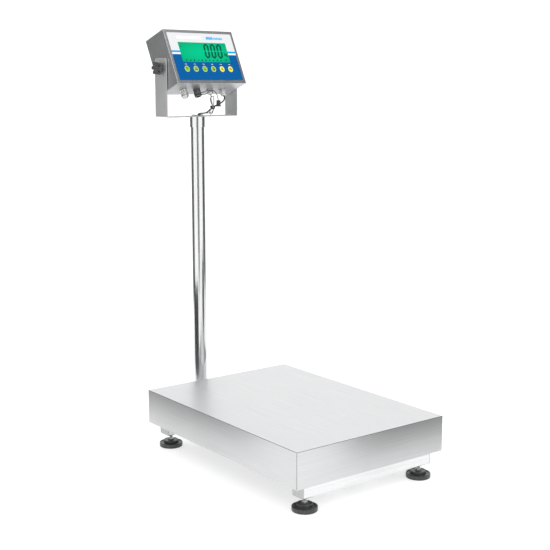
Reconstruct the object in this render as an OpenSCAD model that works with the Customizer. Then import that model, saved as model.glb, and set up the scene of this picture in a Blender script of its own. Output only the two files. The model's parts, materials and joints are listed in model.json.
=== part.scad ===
// Animal weighing scale: a stainless platform on a single-point load cell, with a column
// behind it that carries a tilting indicator in a U-bracket.
// Millimetres, +Z up, the floor at z = 0, the front towards -Y. Plan positions are written
// about the centre of the platform, and everything is then moved by origin_y along Y.

/* [Platform] */
// Width of the platform, left to right
pan_w = 500; // [400:1:620]
// Length of the platform, front to back
pan_l = 700; // [560:1:860]
// Depth of the folded skirt
pan_skirt = 97; // [78:0.5:112]
// Thickness of the platform sheet
pan_t = 1.5; // [1:0.1:2.5]
// Outside radius of the folds
pan_fold_r = 3; // [2.6:0.1:6]
// Width of the open seam at each corner of the skirt
pan_seam = 1.2; // [0.6:0.1:2]

/* [Weighbridge] */
// Height of the spider's side rails
spider_h = 28; // [24:0.5:36]
// Width of the spider's rails
spider_rail_w = 30; // [20:0.5:40]
// Wall of the spider's rails
spider_wall = 2; // [1.5:0.1:3]
// Thickness of the plate over the load cell
spider_plate_t = 8; // [5:0.5:10]
// Width of the plate over the load cell
spider_plate_w = 110; // [90:1:140]
// Length of the plate over the load cell
spider_plate_l = 250; // [220:1:300]
// Distance from the platform's edge to the side rails' centre line
spider_inset = 70; // [60:1:85]
// Height of the rubber buffers under the platform
buffer_h = 9.5; // [6:0.5:14]
// Radius of the rubber buffers
buffer_r = 13; // [8:0.5:14]

/* [Load cell] */
// Length of the load cell
cell_l = 150; // [130:1:190]
// Width of the load cell
cell_w = 40; // [38:1:60]
// Height of the load cell
cell_h = 36; // [32:0.5:44]
// Radius of the two holes that form the bending beams
cell_hole_r = 11; // [8:0.5:12]
// Distance between those holes
cell_hole_pitch = 32; // [26:1:40]
// Thickness of the spacers above and below the load cell
spacer_t = 3; // [2:0.5:6]
// Spacing of the cell's bolts, across the cell
cell_bolt_x = 20; // [17:0.5:22]
// Spacing of the cell's bolts, along the cell
cell_bolt_y = 20; // [17:0.5:22]
// Travel of the platform at full load
weigh_travel = 0.6; // [0.3:0.1:0.8]

/* [Base frame] */
// Distance from the platform's side edges to the beams' ends
base_inset_x = 31; // [20:1:45]
// Distance from the platform's front and rear edges to the beams
base_inset_y = 12.5; // [8:0.5:20]
// Side of the square base tubes
beam_s = 45; // [40:0.5:54]
// Wall of the base tubes
beam_wall = 2.5; // [2:0.1:4]
// Outside corner radius of the base tubes
beam_r = 4; // [3:0.5:6]
// Height of the beams above the floor
foot_gap = 38; // [36:0.5:46]
// Thickness of the plate under the load cell
base_plate_t = 6; // [4:0.5:9]
// Distance from the centre to the base frame's side rails
rail_x = 60; // [52:1:72]
// Thickness of the beams' end caps
cap_t = 2; // [1.5:0.1:3]

/* [Feet] */
// Distance from a beam's end to the foot
foot_inset = 22; // [20:0.5:30]
// Radius of the rubber disc
foot_r = 33.5; // [28:0.5:35]
// Height of the rubber disc
foot_disc_h = 10; // [7:0.5:10.5]
// Radius of the hub on the disc
foot_hub_r = 21.5; // [17:0.5:24]
// Height of the hub on the disc
foot_hub_h = 9; // [6:0.5:9.5]
// Radius of the screwed stud
stud_r = 5; // [4:0.5:6]
// Screw-out travel of a foot
foot_travel = 12; // [6:0.5:16]

/* [Column] */
// Distance from the platform's rear edge to the column's axis
column_gap = 102; // [90:1:130]
// Outside radius of the column tube
column_r = 21.2; // [17:0.1:26]
// Wall of the column tube
column_wall = 2; // [1.5:0.1:3]
// Height of the U-bracket's underside above the platform's top
column_rise = 782; // [640:1:940]
// Height of the socket that holds the column
socket_h = 70; // [58:1:90]
// Wall of the socket
socket_wall = 6; // [5:0.5:8]

/* [Head] */
// Turn of the head about the column at rest
head_yaw = 8.3; // [0:0.1:15]
// Wall of the cap on the column, outside the tube
cap_wall = 2.5; // [2:0.1:4]
// Height of the cap on the column
cap_h = 31; // [26:0.5:40]
// Thickness of the U-bracket's strip
yoke_t = 3; // [2:0.1:4]
// Width of the U-bracket's strip
yoke_w = 52; // [48:0.5:62]
// Height of the U-bracket
yoke_h = 170; // [163:1:204]
// Height of the tilt pivot above the U-bracket's underside
pivot_h = 140.5; // [134:0.5:145]
// Radius of the tilt studs
pivot_r = 4; // [3:0.1:4.8]
// Radius over the knobs' lobes
knob_r = 20; // [17:0.5:24]
// Depth of the knobs' lobes
knob_t = 13; // [10:0.5:16]

/* [Indicator] */
// Width of the indicator's case
case_w = 270; // [225:1:324]
// Height of the indicator's case
case_h = 167; // [160:1:180]
// Depth of the indicator's case
case_d = 84; // [72:1:96]
// Thickness of the case's sheet
case_t = 1.5; // [1:0.1:2]
// Lean of the case's face at rest
case_tilt = 23; // [0:0.5:35]
// Distance from the pivot to the case's face
pivot_front = 49.5; // [40:0.5:50]
// Distance from the pivot to the case's underside
pivot_bottom = 67; // [62:0.5:70]
// Plain border round the overlay
overlay_margin = 10; // [8:0.5:14]
// Thickness of the overlay
overlay_t = 0.5; // [0.3:0.1:0.8]
// Width of the display window
window_w = 187; // [156:1:190]
// Height of the display window
window_h = 61.5; // [52:0.5:66]
// Height of the window's lower edge above the pivot
window_z = -0.8; // [-2:0.1:3]
// Radius of the keys
key_r = 9; // [7:0.1:10.8]
// Distance between the keys
key_pitch = 34.2; // [30:0.1:36]
// Depth of the keys' centres below the pivot
key_drop = 22.3; // [20:0.1:24]
// Travel of the keys
key_travel = 0.5; // [0.3:0.1:0.6]

/* [Connectors] */
// Distance between the connectors under the case
conn_pitch = 51.3; // [44:0.1:58]
// Radius of the connectors' threads
conn_r = 8; // [6.5:0.1:9]
// Radius of the load cell's cable
load_cable_r = 2.2; // [1.8:0.1:2.4]
// Radius of the supply cable
supply_cable_r = 1.3; // [1:0.1:1.6]

/* [Hidden] */

$fn = 48;
eps = 0.01;            // overlap that makes two cuts one
run_fit = 0.05;        // radial clearance of a shaft that turns in its hole
bolt_fit = 0.1;        // radial clearance of a fastener in its hole
slip = 0.3;            // gap between faces that pass each other
steel = [0.78, 0.79, 0.80];
dark_steel = [0.55, 0.56, 0.58];
zinc = [0.70, 0.71, 0.72];
cell_alloy = [0.80, 0.81, 0.83];
black = [0.10, 0.10, 0.11];
cable_dark = [0.35, 0.36, 0.37];
cable_grey = [0.60, 0.61, 0.62];
board_green = [0.10, 0.35, 0.20];
m8_r = 4;              // radius of the M8 bolts
m8_head = 5.3;         // height of their heads
m8_grip = 16;          // length of thread that they hold in the cell
m10_r = 5;             // radius of the M10 overload stops
m10_head = 6.4;        // height of their heads

// heights from the floor up
beam_top = foot_gap + beam_s;
plate_top = beam_top + base_plate_t;
cell_z = plate_top + spacer_t;
spider_z = cell_z + cell_h + spacer_t;
spider_top = spider_z + spider_h;
pan_under = spider_top + buffer_h;
pan_top = pan_under + pan_t;
yoke_z = pan_top + column_rise;

// plan positions about the platform's centre
base_w = pan_w - 2 * base_inset_x;
base_l = pan_l - 2 * base_inset_y;
beam_y = base_l / 2 - beam_s / 2;
foot_x = base_w / 2 - foot_inset;
spider_x = pan_w / 2 - spider_inset;
column_y = pan_l / 2 + column_gap;
bolt_edge = 10;                                  // from a bolt's axis to the edge of its spacer
cell_end = cell_l / 2 - cell_bolt_y / 2 - bolt_edge;   // bolt pattern's centre on each end
stop_gap = weigh_travel + 0.4;                   // stays open below the spider at full load

// the head
case_top = case_h - pivot_bottom;
case_rear = case_d - pivot_front;
washer_t = 1.6;
arm_x = case_w / 2 + washer_t + 0.4;             // inner face of each bracket arm
yoke_out = arm_x + yoke_t;
gasket_t = 1;
shell_rear = case_rear - case_t - gasket_t;
conn_x = [for (i = [0:3]) (i - 1.5) * conn_pitch];
key_x = [for (i = [0:5]) (i - 2.5) * key_pitch];
overlay_w = case_w - 2 * overlay_margin;
overlay_h = case_h - 2 * overlay_margin;
head_back = case_w / 2 * sin(head_yaw)
    + (case_rear * cos(case_tilt) + case_top * sin(case_tilt)) * cos(head_yaw);
origin_y = -(column_y + head_back - pan_l / 2) / 2;

// M8 and M10 hexagon parts: width across corners follows the thread
function hex_r(thread_r) = thread_r * 1.88;

// routes of the cables, about the head's own axis at the U-bracket's underside
load_route = [
    [76.9, -35, 60], [76.6, -37, 54], [74, -37.5, 48], [69.5, -34.5, 42.5], [64, -30, 38],
    [58, -24.5, 34], [52, -19, 29.8], [46.5, -14, 25], [41.5, -10.5, 20], [36.5, -8, 15],
    [31, -6, 11.4], [24, -4, 9.6], [17, -2, 9.2], [11, -0.6, 9.2], [7, 0, 8.6],
    [3.8, 0, 6.8], [1.6, 0, 4], [0.5, 0, 0.5], [0, 0, -4], [0, 0, -12]
];
supply_route = [
    [43, -19.6, 15], [38.5, -20.2, 12.4], [33, -19, 10.8], [27, -15.6, 10], [20.5, -12.6, 9.7],
    [14, -9.2, 9.4], [8.8, -6.6, 8.6], [5, -5, 6.6], [2.6, -4.5, 3.4], [1.2, -4.4, -1],
    [1, -4.4, -12]
];
lanyard_route = [
    [-14.5, -31, 70.5], [-10, -38, 72], [-4, -43, 74.6], [4, -45.5, 77.4], [12, -46.5, 78.6],
    [20, -46.5, 77.6], [28, -46, 74.4], [35.5, -44.5, 69], [42, -42, 62], [47, -39.5, 55],
    [50, -38, 49]
];
// route of the load cell's cable inside the column and the base, about the platform's centre
column_route = [
    [0, 0, yoke_z - 14], [0, 0, yoke_z - 60], [0, 0, 560], [0, 0, 220], [0, 0, 100],
    [0, 0, 74], [0, -2, 64], [0, -8, 56], [0, -18, 52], [0, -40, 51.5],
    [0, -100, 51.5], [0, -160, 51.5], [0, -200, 54], [0, -240, 66], [0, -280, 82],
    [0, -320, 98], [0, -350, 107]
];
tie_at = [46.5, -18, 26];                         // where the tie gathers the cables
hank_turn = [20, -28, 0];                         // lean of the hank from the tie up to its gland
dust_cap_at = [50.6, -38, 48.5];                  // top of the dust cap

// ---------------------------------------------------------------- shared shapes

module base_frame() translate([0, origin_y, 0]) children();

module head_frame() translate([0, origin_y + column_y, yoke_z]) rotate([0, 0, head_yaw]) children();

module case_frame() head_frame() translate([0, 0, pivot_h]) rotate([-case_tilt, 0, 0]) children();

module box(low, high) translate(low) cube(high - low);

module rounded(w, h, r) {
    square([w - 2 * r, h], center = true);
    square([w, h - 2 * r], center = true);
    for (sx = [-1, 1], sy = [-1, 1]) translate([sx * (w / 2 - r), sy * (h / 2 - r)]) circle(r);
}

// a block standing along X (axis 0), Y (1) or Z (2) with rounded edges along that way
module bar(axis, length, w, h, r) {
    turn = axis == 0 ? [90, 0, 90] : axis == 1 ? [90, 0, 0] : [0, 0, 0];
    rotate(turn) linear_extrude(length, center = true) rounded(w, h, r);
}

module square_tube(axis, length, side, wall, r) difference() {
    bar(axis, length, side, side, r);
    bar(axis, length + 2 * eps, side - 2 * wall, side - 2 * wall, max(r - wall, 0.5));
}

// hexagon bolt, its head on z = 0 upwards and its shank below
module hex_bolt(r, length, head_h) {
    cylinder(h = head_h, r = hex_r(r), $fn = 6);
    translate([0, 0, -length]) cylinder(h = length + eps, r = r);
}

module hex_nut(r, h) difference() {
    cylinder(h = h, r = hex_r(r), $fn = 6);
    translate([0, 0, -eps]) cylinder(h = h + 2 * eps, r = r + run_fit);
}

module at_four(x, y) for (sx = [-1, 1], sy = [-1, 1]) translate([sx * x, sy * y, 0]) children();

module at_beam_ends() at_four(foot_x, beam_y) children();

module ring(r_out, r_in, h) difference() {
    cylinder(h = h, r = r_out);
    translate([0, 0, -eps]) cylinder(h = h + 2 * eps, r = r_in);
}

// smooth curve through the points of a route, with n steps between each two
function bend(a, b, c, d, t) = 0.5 * ((2 * b) + (c - a) * t + (2 * a - 5 * b + 4 * c - d) * t * t
    + (3 * b - a - 3 * c + d) * t * t * t);
function smooth(p, n) = [
    for (i = [0:len(p) - 2], k = [0:n - 1])
        bend(p[max(i - 1, 0)], p[i], p[i + 1], p[min(i + 2, len(p) - 1)], k / n),
    p[len(p) - 1]
];
function unit(v) = v / norm(v);
function heading(p, i) = unit(p[min(i + 1, len(p) - 1)] - p[max(i - 1, 0)]);

// round cord swept along a route; side is a direction that the route never takes
module cord(p, r, side, sides = 8) {
    rings = [
        for (i = [0:len(p) - 1])
            let (t = heading(p, i), u = unit(cross(t, side)), v = cross(t, u))
                for (k = [0:sides - 1]) p[i] + r * (cos(360 * k / sides) * u + sin(360 * k / sides) * v)
    ];
    last = (len(p) - 1) * sides;
    walls = [
        for (i = [0:len(p) - 2], k = [0:sides - 1])
            let (a = i * sides + k, b = i * sides + (k + 1) % sides)
                [a, b, b + sides, a + sides]
    ];
    first_end = [for (k = [sides - 1:-1:0]) k];
    last_end = [for (k = [0:sides - 1]) last + k];
    polyhedron(rings, concat([first_end], walls, [last_end]), convexity = 6);
}

// ---------------------------------------------------------------- platform

module folded_block(w, l, h, r) intersection() {
    bar(0, w, l, 2 * h, r);
    bar(1, l, w, 2 * h, r);
}

module pan() color(steel) base_frame() difference() {
    translate([0, 0, pan_top - pan_skirt]) intersection() {
        folded_block(pan_w, pan_l, pan_skirt, pan_fold_r);
        box([-pan_w, -pan_l, 0], [pan_w, pan_l, pan_skirt]);
    }
    translate([0, 0, pan_under - pan_skirt])
        folded_block(pan_w - 2 * pan_t, pan_l - 2 * pan_t, pan_skirt, pan_fold_r - pan_t);
    at_four(pan_w / 2, pan_l / 2) translate([0, 0, pan_top - pan_skirt / 2 - pan_fold_r - pan_t])
        cube([2 * pan_seam, 2 * pan_seam, pan_skirt], center = true);
}

buffer_back = 25;      // from the beams' centre line to the buffers

module pan_buffers() color(black) base_frame() at_four(spider_x, beam_y - buffer_back)
    translate([0, 0, spider_top]) cylinder(h = buffer_h, r = buffer_r);

// ---------------------------------------------------------------- weighbridge

spider_l = 2 * beam_y + spider_rail_w;
cross_x = 2 * spider_x - spider_rail_w;
cross_y = spider_plate_l / 2 - spider_rail_w / 2;
cross_h = spider_h - spider_plate_t;

module hollow_rail(axis, length, w, h, wall) difference() {
    bar(axis, length, w, h, 3);
    bar(axis, length + 2 * eps, w - 2 * wall, h - 2 * wall, 1);
}

module spider_side_rails() color(dark_steel) base_frame() for (s = [-1, 1])
    translate([s * spider_x, 0, spider_z + spider_h / 2])
        hollow_rail(1, spider_l, spider_rail_w, spider_h, spider_wall);

module spider_cross_rails() color(dark_steel) base_frame() for (s = [-1, 1])
    translate([0, s * cross_y, spider_top - cross_h / 2])
        hollow_rail(0, cross_x, spider_rail_w, cross_h, spider_wall);

module cell_bolt_holes(at_y, r, low, high) at_four(cell_bolt_x / 2, cell_bolt_y / 2)
    translate([0, at_y, low]) cylinder(h = high - low, r = r);

module spider_plate() color(dark_steel) base_frame() difference() {
    translate([0, 0, spider_z + spider_plate_t / 2])
        bar(2, spider_plate_t, spider_plate_w, spider_plate_l, 6);
    cell_bolt_holes(-cell_end, m8_r + bolt_fit, spider_z - eps, spider_z + spider_plate_t + eps);
}

module spacer(at_y, low) difference() {
    translate([-cell_w / 2, at_y - cell_bolt_y / 2 - bolt_edge, low])
        cube([cell_w, cell_bolt_y + 2 * bolt_edge, spacer_t]);
    cell_bolt_holes(at_y, m8_r + bolt_fit, low - eps, low + spacer_t + eps);
}

module upper_spacer() color(zinc) base_frame() spacer(-cell_end, cell_z + cell_h);

module cell_bolts_upper() color(zinc) base_frame() at_four(cell_bolt_x / 2, cell_bolt_y / 2)
    translate([0, -cell_end, spider_z + spider_plate_t])
        hex_bolt(m8_r, spider_plate_t + spacer_t + m8_grip, m8_head);

// ---------------------------------------------------------------- load cell

tapped = m8_grip + 2;  // depth of the cell's tapped holes
beam_slot = 6;         // slot that joins the two bending holes

module load_cell() color(cell_alloy) base_frame() difference() {
    box([-cell_w / 2, -cell_l / 2, cell_z], [cell_w / 2, cell_l / 2, cell_z + cell_h]);
    for (s = [-1, 1]) translate([0, s * cell_hole_pitch / 2, cell_z + cell_h / 2])
        rotate([0, 90, 0]) cylinder(h = cell_w + 2, r = cell_hole_r, center = true);
    translate([0, 0, cell_z + cell_h / 2]) cube([cell_w + 2, cell_hole_pitch, beam_slot], center = true);
    cell_bolt_holes(-cell_end, m8_r + bolt_fit, cell_z + cell_h - tapped, cell_z + cell_h + eps);
    cell_bolt_holes(cell_end, m8_r + bolt_fit, cell_z - eps, cell_z + tapped);
}

module lower_spacer() color(zinc) base_frame() spacer(cell_end, plate_top);

module cell_bolts_lower() color(zinc) base_frame() at_four(cell_bolt_x / 2, cell_bolt_y / 2)
    translate([0, cell_end, beam_top]) rotate([180, 0, 0])
        hex_bolt(m8_r, base_plate_t + spacer_t + m8_grip, m8_head);

// ---------------------------------------------------------------- base frame

base_plate_l = 100;

module base_plate() color(dark_steel) base_frame() difference() {
    translate([0, cell_end, beam_top + base_plate_t / 2])
        bar(2, base_plate_t, 2 * rail_x + beam_s, base_plate_l, 5);
    cell_bolt_holes(cell_end, m8_r + bolt_fit, beam_top - eps, plate_top + eps);
}

arm_bolt_x = 42;
arm_bolt_z = [foot_gap + 10, foot_gap + 24];
cable_z = foot_gap + 13.5;
cable_hole_r = 4;
boss_h = 20;           // threaded boss of a foot, inside the beam
stud_held = 10;        // stud left in the boss with the foot right out
stud_top = foot_gap + stud_held + foot_travel;

module beam_holes() {
    // studs of the feet, through the bottom wall
    at_beam_ends() translate([0, 0, foot_gap - eps])
        cylinder(h = boss_h + foot_travel, r = stud_r + run_fit);
    // overload stops, through the top wall
    at_four(spider_x, beam_y) translate([0, 0, beam_top - 12]) cylinder(h = 13, r = m10_r + bolt_fit);
    // bracket bolts and the cable, through the rear beam
    for (x = [-1, 1] * arm_bolt_x, z = arm_bolt_z)
        translate([x, base_l / 2 - 10, z]) rotate([-90, 0, 0]) cylinder(h = 11, r = m8_r + bolt_fit);
    translate([0, base_l / 2 - beam_s - eps, cable_z]) rotate([-90, 0, 0])
        cylinder(h = beam_s + 1, r = cable_hole_r);
}

module base_cross_beams() color(steel) base_frame() difference() {
    union() {
        for (s = [-1, 1]) translate([0, s * beam_y, foot_gap + beam_s / 2])
            square_tube(0, base_w - 2 * cap_t, beam_s, beam_wall, beam_r);
        at_beam_ends() translate([0, 0, foot_gap + 1]) cylinder(h = boss_h, r = stud_r + 4);
    }
    beam_holes();
}

module base_side_rails() color(steel) base_frame() for (s = [-1, 1])
    translate([s * rail_x, 0, foot_gap + beam_s / 2])
        square_tube(1, base_l - 2 * beam_s, beam_s, beam_wall, beam_r);

plug_depth = 6;        // how far an end cap reaches into its beam
plug_s = beam_s - 2 * beam_wall - 2 * bolt_fit;

module beam_end_caps() color(steel) base_frame() for (sx = [-1, 1], sy = [-1, 1])
    translate([sx * (base_w / 2 - cap_t), sy * beam_y, foot_gap + beam_s / 2]) {
        translate([sx * cap_t / 2, 0, 0]) bar(0, cap_t, beam_s, beam_s, beam_r);
        translate([-sx * plug_depth / 2, 0, 0]) bar(0, plug_depth + eps, plug_s, plug_s, beam_r - beam_wall);
    }

stop_z = spider_z - stop_gap - m10_head;   // underside of the stops' heads
nut_h = 5;                                  // lock nuts of the feet
stop_nut_h = 8;                             // nuts of the overload stops

module overload_stops() color(zinc) base_frame() at_four(spider_x, beam_y)
    translate([0, 0, stop_z]) hex_bolt(m10_r, stop_z - beam_top + 9, m10_head);

module lock_nuts() color(zinc) base_frame() {
    at_beam_ends() translate([0, 0, foot_gap - nut_h]) hex_nut(stud_r, nut_h);
    at_four(spider_x, beam_y) translate([0, 0, beam_top]) hex_nut(m10_r, stop_nut_h);
}

// ---------------------------------------------------------------- feet

foot_top = foot_disc_h + foot_hub_h;
stud_seat = 5;         // bottom of the stud's socket in the pad
stud_hex_h = 6;        // hexagon that turns the stud

module foot_pad(sx, sy) color(black) base_frame() translate([sx * foot_x, sy * beam_y, 0])
    difference() {
        rotate_extrude() polygon([
            [0, 0], [foot_r - 1.5, 0], [foot_r, 1.5], [foot_r, foot_disc_h - 1.2],
            [foot_r - 1.2, foot_disc_h], [foot_hub_r, foot_disc_h], [foot_hub_r, foot_top - 2],
            [foot_hub_r - 2, foot_top], [0, foot_top]
        ]);
        translate([0, 0, stud_seat]) cylinder(h = foot_top, r = stud_r + run_fit);
    }

module foot_stud(sx, sy) color(zinc) base_frame() translate([sx * foot_x, sy * beam_y, 0]) {
    translate([0, 0, stud_seat + slip]) cylinder(h = stud_top - stud_seat - slip, r = stud_r);
    translate([0, 0, foot_top + slip]) cylinder(h = stud_hex_h, r = hex_r(stud_r) * 0.86, $fn = 6);
}

module foot_pad_fl() foot_pad(-1, -1);
module foot_pad_fr() foot_pad(1, -1);
module foot_pad_rl() foot_pad(-1, 1);
module foot_pad_rr() foot_pad(1, 1);
module foot_stud_fl() foot_stud(-1, -1);
module foot_stud_fr() foot_stud(1, -1);
module foot_stud_rl() foot_stud(-1, 1);
module foot_stud_rr() foot_stud(1, 1);

// ---------------------------------------------------------------- column

arm_w = 60;
arm_h = 28;
flange_t = 6;
flange_h = 33;
socket_r = column_r + socket_wall;
socket_floor = 6;
column_foot = foot_gap + socket_floor;
cap_top_t = 6;
column_top = yoke_z - cap_top_t - slip;
flange_margin = 13;    // from the outer bolts to the flange's ends
box_wall = 4;          // wall of the hollow arm
socket_bolt_z = foot_gap + socket_h - 15;
socket_bolt_at = [60, 120];
socket_bolt_grip = 14;
duct_r = 5;            // cable duct through the arm and the tube

module column_arm() color(steel) base_frame() difference() {
    union() {
        translate([0, base_l / 2 + flange_t / 2, foot_gap + flange_h / 2])
            cube([2 * (arm_bolt_x + flange_margin), flange_t, flange_h], center = true);
        box([-arm_w / 2, base_l / 2 + 1, foot_gap], [arm_w / 2, column_y, foot_gap + arm_h]);
        translate([0, column_y, foot_gap]) cylinder(h = socket_h, r = socket_r);
    }
    box([-arm_w / 2 + box_wall, base_l / 2 + flange_t + box_wall, foot_gap + box_wall],
        [arm_w / 2 - box_wall, column_y - socket_r, foot_gap + arm_h - box_wall]);
    translate([0, column_y, column_foot]) cylinder(h = socket_h, r = column_r + run_fit);
    translate([0, base_l / 2 - 1, cable_z]) rotate([-90, 0, 0])
        cylinder(h = column_y - base_l / 2, r = duct_r);
    for (x = [-1, 1] * arm_bolt_x, z = arm_bolt_z)
        translate([x, base_l / 2 - 1, z]) rotate([-90, 0, 0])
            cylinder(h = flange_t + 2, r = m8_r + bolt_fit);
    for (a = socket_bolt_at) translate([0, column_y, socket_bolt_z]) rotate([0, 0, a])
        rotate([0, 90, 0]) cylinder(h = socket_r + 1, r = m8_r + bolt_fit);
}

module column_bolts() color(zinc) base_frame() {
    for (x = [-1, 1] * arm_bolt_x, z = arm_bolt_z)
        translate([x, base_l / 2 + flange_t, z]) rotate([-90, 0, 0]) hex_bolt(m8_r, 14, m8_head);
    // clamping bolts, their tips just short of the tube
    for (a = socket_bolt_at) translate([0, column_y, socket_bolt_z]) rotate([0, 0, a])
        translate([column_r + slip / 2 + socket_bolt_grip, 0, 0]) rotate([0, 90, 0])
            hex_bolt(m8_r, socket_bolt_grip, m8_head);
}

module column_tube() color(steel) base_frame() translate([0, column_y, 0]) difference() {
    translate([0, 0, column_foot]) ring(column_r, column_r - column_wall, column_top - column_foot);
    translate([0, 0, cable_z]) rotate([90, 0, 0]) cylinder(h = column_r + 1, r = duct_r);
}

module column_cable() color(cable_dark) base_frame() translate([0, column_y, 0])
    cord(smooth(column_route, 2), load_cable_r, [1, 0, 0]);

// ---------------------------------------------------------------- head

cap_r = column_r + cap_wall;
grommet_r = 10;        // neck of the grommet
grommet_lip_r = 11.8;  // its lip on the bracket
grommet_lip_h = 1.6;
grommet_bore_r = 7.4;
screw_r = 2.5;         // M5 screws of the cap
screw_head_r = 4.4;
screw_head_h = 3.4;
cap_screw_x = grommet_lip_r + screw_head_r + 0.5;

module column_cap() color(dark_steel) head_frame() difference() {
    translate([0, 0, -cap_h]) cylinder(h = cap_h, r = cap_r);
    translate([0, 0, -cap_h - eps]) cylinder(h = cap_h - cap_top_t + eps, r = column_r + run_fit);
    translate([0, 0, -cap_top_t - 1]) cylinder(h = cap_top_t + 2, r = grommet_r + run_fit);
    for (s = [-1, 1]) translate([s * cap_screw_x, 0, -cap_top_t - 1])
        cylinder(h = cap_top_t + 2, r = screw_r + bolt_fit);
}

module cap_screws() color(black) head_frame() for (s = [-1, 1])
    translate([s * cap_screw_x, 0, yoke_t]) {
        cylinder(h = screw_head_h, r = screw_head_r);
        translate([0, 0, -yoke_t - 5]) cylinder(h = yoke_t + 5 + eps, r = screw_r);
    }

module cable_grommet() color(black) head_frame() difference() {
    union() {
        translate([0, 0, 1 - cap_top_t]) cylinder(h = cap_top_t - 1 + yoke_t, r = grommet_r);
        translate([0, 0, yoke_t]) cylinder(h = grommet_lip_h, r = grommet_lip_r);
    }
    translate([0, 0, -cap_top_t]) cylinder(h = cap_top_t + yoke_t + grommet_lip_h + 1, r = grommet_bore_r);
}

yoke_fold_r = 5;       // outside radius of the bracket's two folds
arm_corner_r = 9;      // corners at the arms' upper ends

module yoke() color(zinc) head_frame() difference() {
    intersection() {
        rotate([90, 0, 0]) linear_extrude(yoke_w, center = true) difference() {
            translate([0, yoke_h]) rounded(2 * yoke_out, 2 * yoke_h, yoke_fold_r);
            translate([0, yoke_h + yoke_t]) rounded(2 * arm_x, 2 * yoke_h, yoke_fold_r - yoke_t);
        }
        // the arms' upper corners are round
        bar(0, 2 * yoke_out + 2, yoke_w, 2 * yoke_h, arm_corner_r);
    }
    translate([0, 0, -eps]) cylinder(h = yoke_t + 2 * eps, r = grommet_r);
    for (s = [-1, 1]) translate([s * cap_screw_x, 0, -eps])
        cylinder(h = yoke_t + 2 * eps, r = screw_r + bolt_fit);
    translate([0, 0, pivot_h]) rotate([0, 90, 0])
        cylinder(h = 2 * yoke_out + 2, r = pivot_r + run_fit, center = true);
}

lobes = 6;
lobe_r = 5.6;
knob_hub_h = 5;
thread_in = 9;         // the knob's stud inside the case
boss_depth = 9.5;      // the case's bosses that take those studs

module knob(side) case_frame() {
    hub_in = yoke_out + slip + 0.1;
    stud_l = hub_in - case_w / 2 + thread_in;
    color(black) translate([side * hub_in, 0, 0]) rotate([0, side * 90, 0]) {
        cylinder(h = knob_hub_h + 1, r = knob_r * 0.55);
        translate([0, 0, knob_hub_h]) linear_extrude(knob_t) {
            circle(knob_r * 0.68);
            for (i = [0:lobes - 1]) rotate(i * 360 / lobes) translate([knob_r - lobe_r, 0]) circle(lobe_r);
        }
        translate([0, 0, -stud_l]) cylinder(h = stud_l + 1, r = pivot_r);
    }
}

module knob_left() knob(-1);
module knob_right() knob(1);

module tilt_washers() color(black) case_frame() for (s = [-1, 1])
    translate([s * (case_w + washer_t) / 2 - washer_t / 2, 0, 0]) rotate([0, 90, 0])
        ring(13, pivot_r + slip, washer_t);

// ---------------------------------------------------------------- indicator

back_inset = 8;        // the back's screws, from the case's edges
lip = 15;              // screw flange round the rear opening
back_r = 2;            // M4 screws of the back
screw_at = [for (x = [-1, 0, 1], z = [-pivot_bottom + back_inset, case_top - back_inset])
    [x * (case_w / 2 - back_inset), z]];

module case_block(inset, front, rear, r) translate([0, 0, case_h / 2 - pivot_bottom]) intersection() {
    translate([0, (front + rear) / 2, 0])
        cube([case_w - 2 * inset, rear - front, case_h - 2 * inset], center = true);
    // folded edges round the face
    translate([0, front + case_d, 0]) bar(0, case_w, 2 * case_d, case_h - 2 * inset, r);
    translate([0, front + case_d, 0]) bar(2, case_h, case_w - 2 * inset, 2 * case_d, r);
}

window_rim = 2;        // sheet that the window lies on, all round

module case_shell() color(dark_steel) case_frame() difference() {
    union() {
        difference() {
            case_block(0, -pivot_front, shell_rear, 2.5);
            case_block(case_t, -pivot_front + case_t, shell_rear - case_t, 1);
        }
        for (s = [-1, 1]) rotate([0, s * 90, 0]) translate([0, 0, case_w / 2 - case_t / 2 - boss_depth])
            cylinder(h = boss_depth, r = 2 * pivot_r + 1);
    }
    // rear opening inside the screw flange
    box([-case_w / 2 + lip, shell_rear - 4, -pivot_bottom + lip],
        [case_w / 2 - lip, shell_rear + 1, case_top - lip]);
    // display, keys, connectors, pivots and screws
    box([-window_w / 2 + window_rim, -pivot_front - 1, window_z + window_rim],
        [window_w / 2 - window_rim, -pivot_front + 3, window_z + window_h - window_rim]);
    for (x = key_x) translate([x, -pivot_front - 1, -key_drop]) rotate([-90, 0, 0])
        cylinder(h = 4, r = key_r + slip);
    for (x = conn_x) translate([x, 0, -pivot_bottom - 1]) cylinder(h = 4, r = conn_r + bolt_fit);
    rotate([0, 90, 0]) cylinder(h = case_w + 2, r = pivot_r + run_fit, center = true);
    for (p = screw_at) translate([p[0], shell_rear - 4, p[1]]) rotate([-90, 0, 0])
        cylinder(h = 6, r = back_r + bolt_fit);
}

// a sheet behind the shell, set in from its edges and open inside the given border
module back_sheet(front, rear, inset, open) difference() {
    box([-case_w / 2 + inset, front, -pivot_bottom + inset], [case_w / 2 - inset, rear, case_top - inset]);
    if (open > 0) box([-case_w / 2 + open, front - 1, -pivot_bottom + open],
        [case_w / 2 - open, rear + 1, case_top - open]);
    for (p = screw_at) translate([p[0], front - 1, p[1]]) rotate([-90, 0, 0])
        cylinder(h = rear - front + 2, r = back_r + bolt_fit);
}

module back_gasket() color(black) case_frame()
    back_sheet(shell_rear, shell_rear + gasket_t, 1, lip - 1);

module case_back() color(dark_steel) case_frame()
    back_sheet(shell_rear + gasket_t, case_rear, 0, 0);

module back_screws() color(zinc) case_frame() for (p = screw_at)
    translate([p[0], case_rear, p[1]]) rotate([-90, 0, 0]) {
        cylinder(h = 2.2, r = 1.8 * back_r);
        translate([0, 0, -8]) cylinder(h = 8 + eps, r = back_r);
    }

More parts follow.
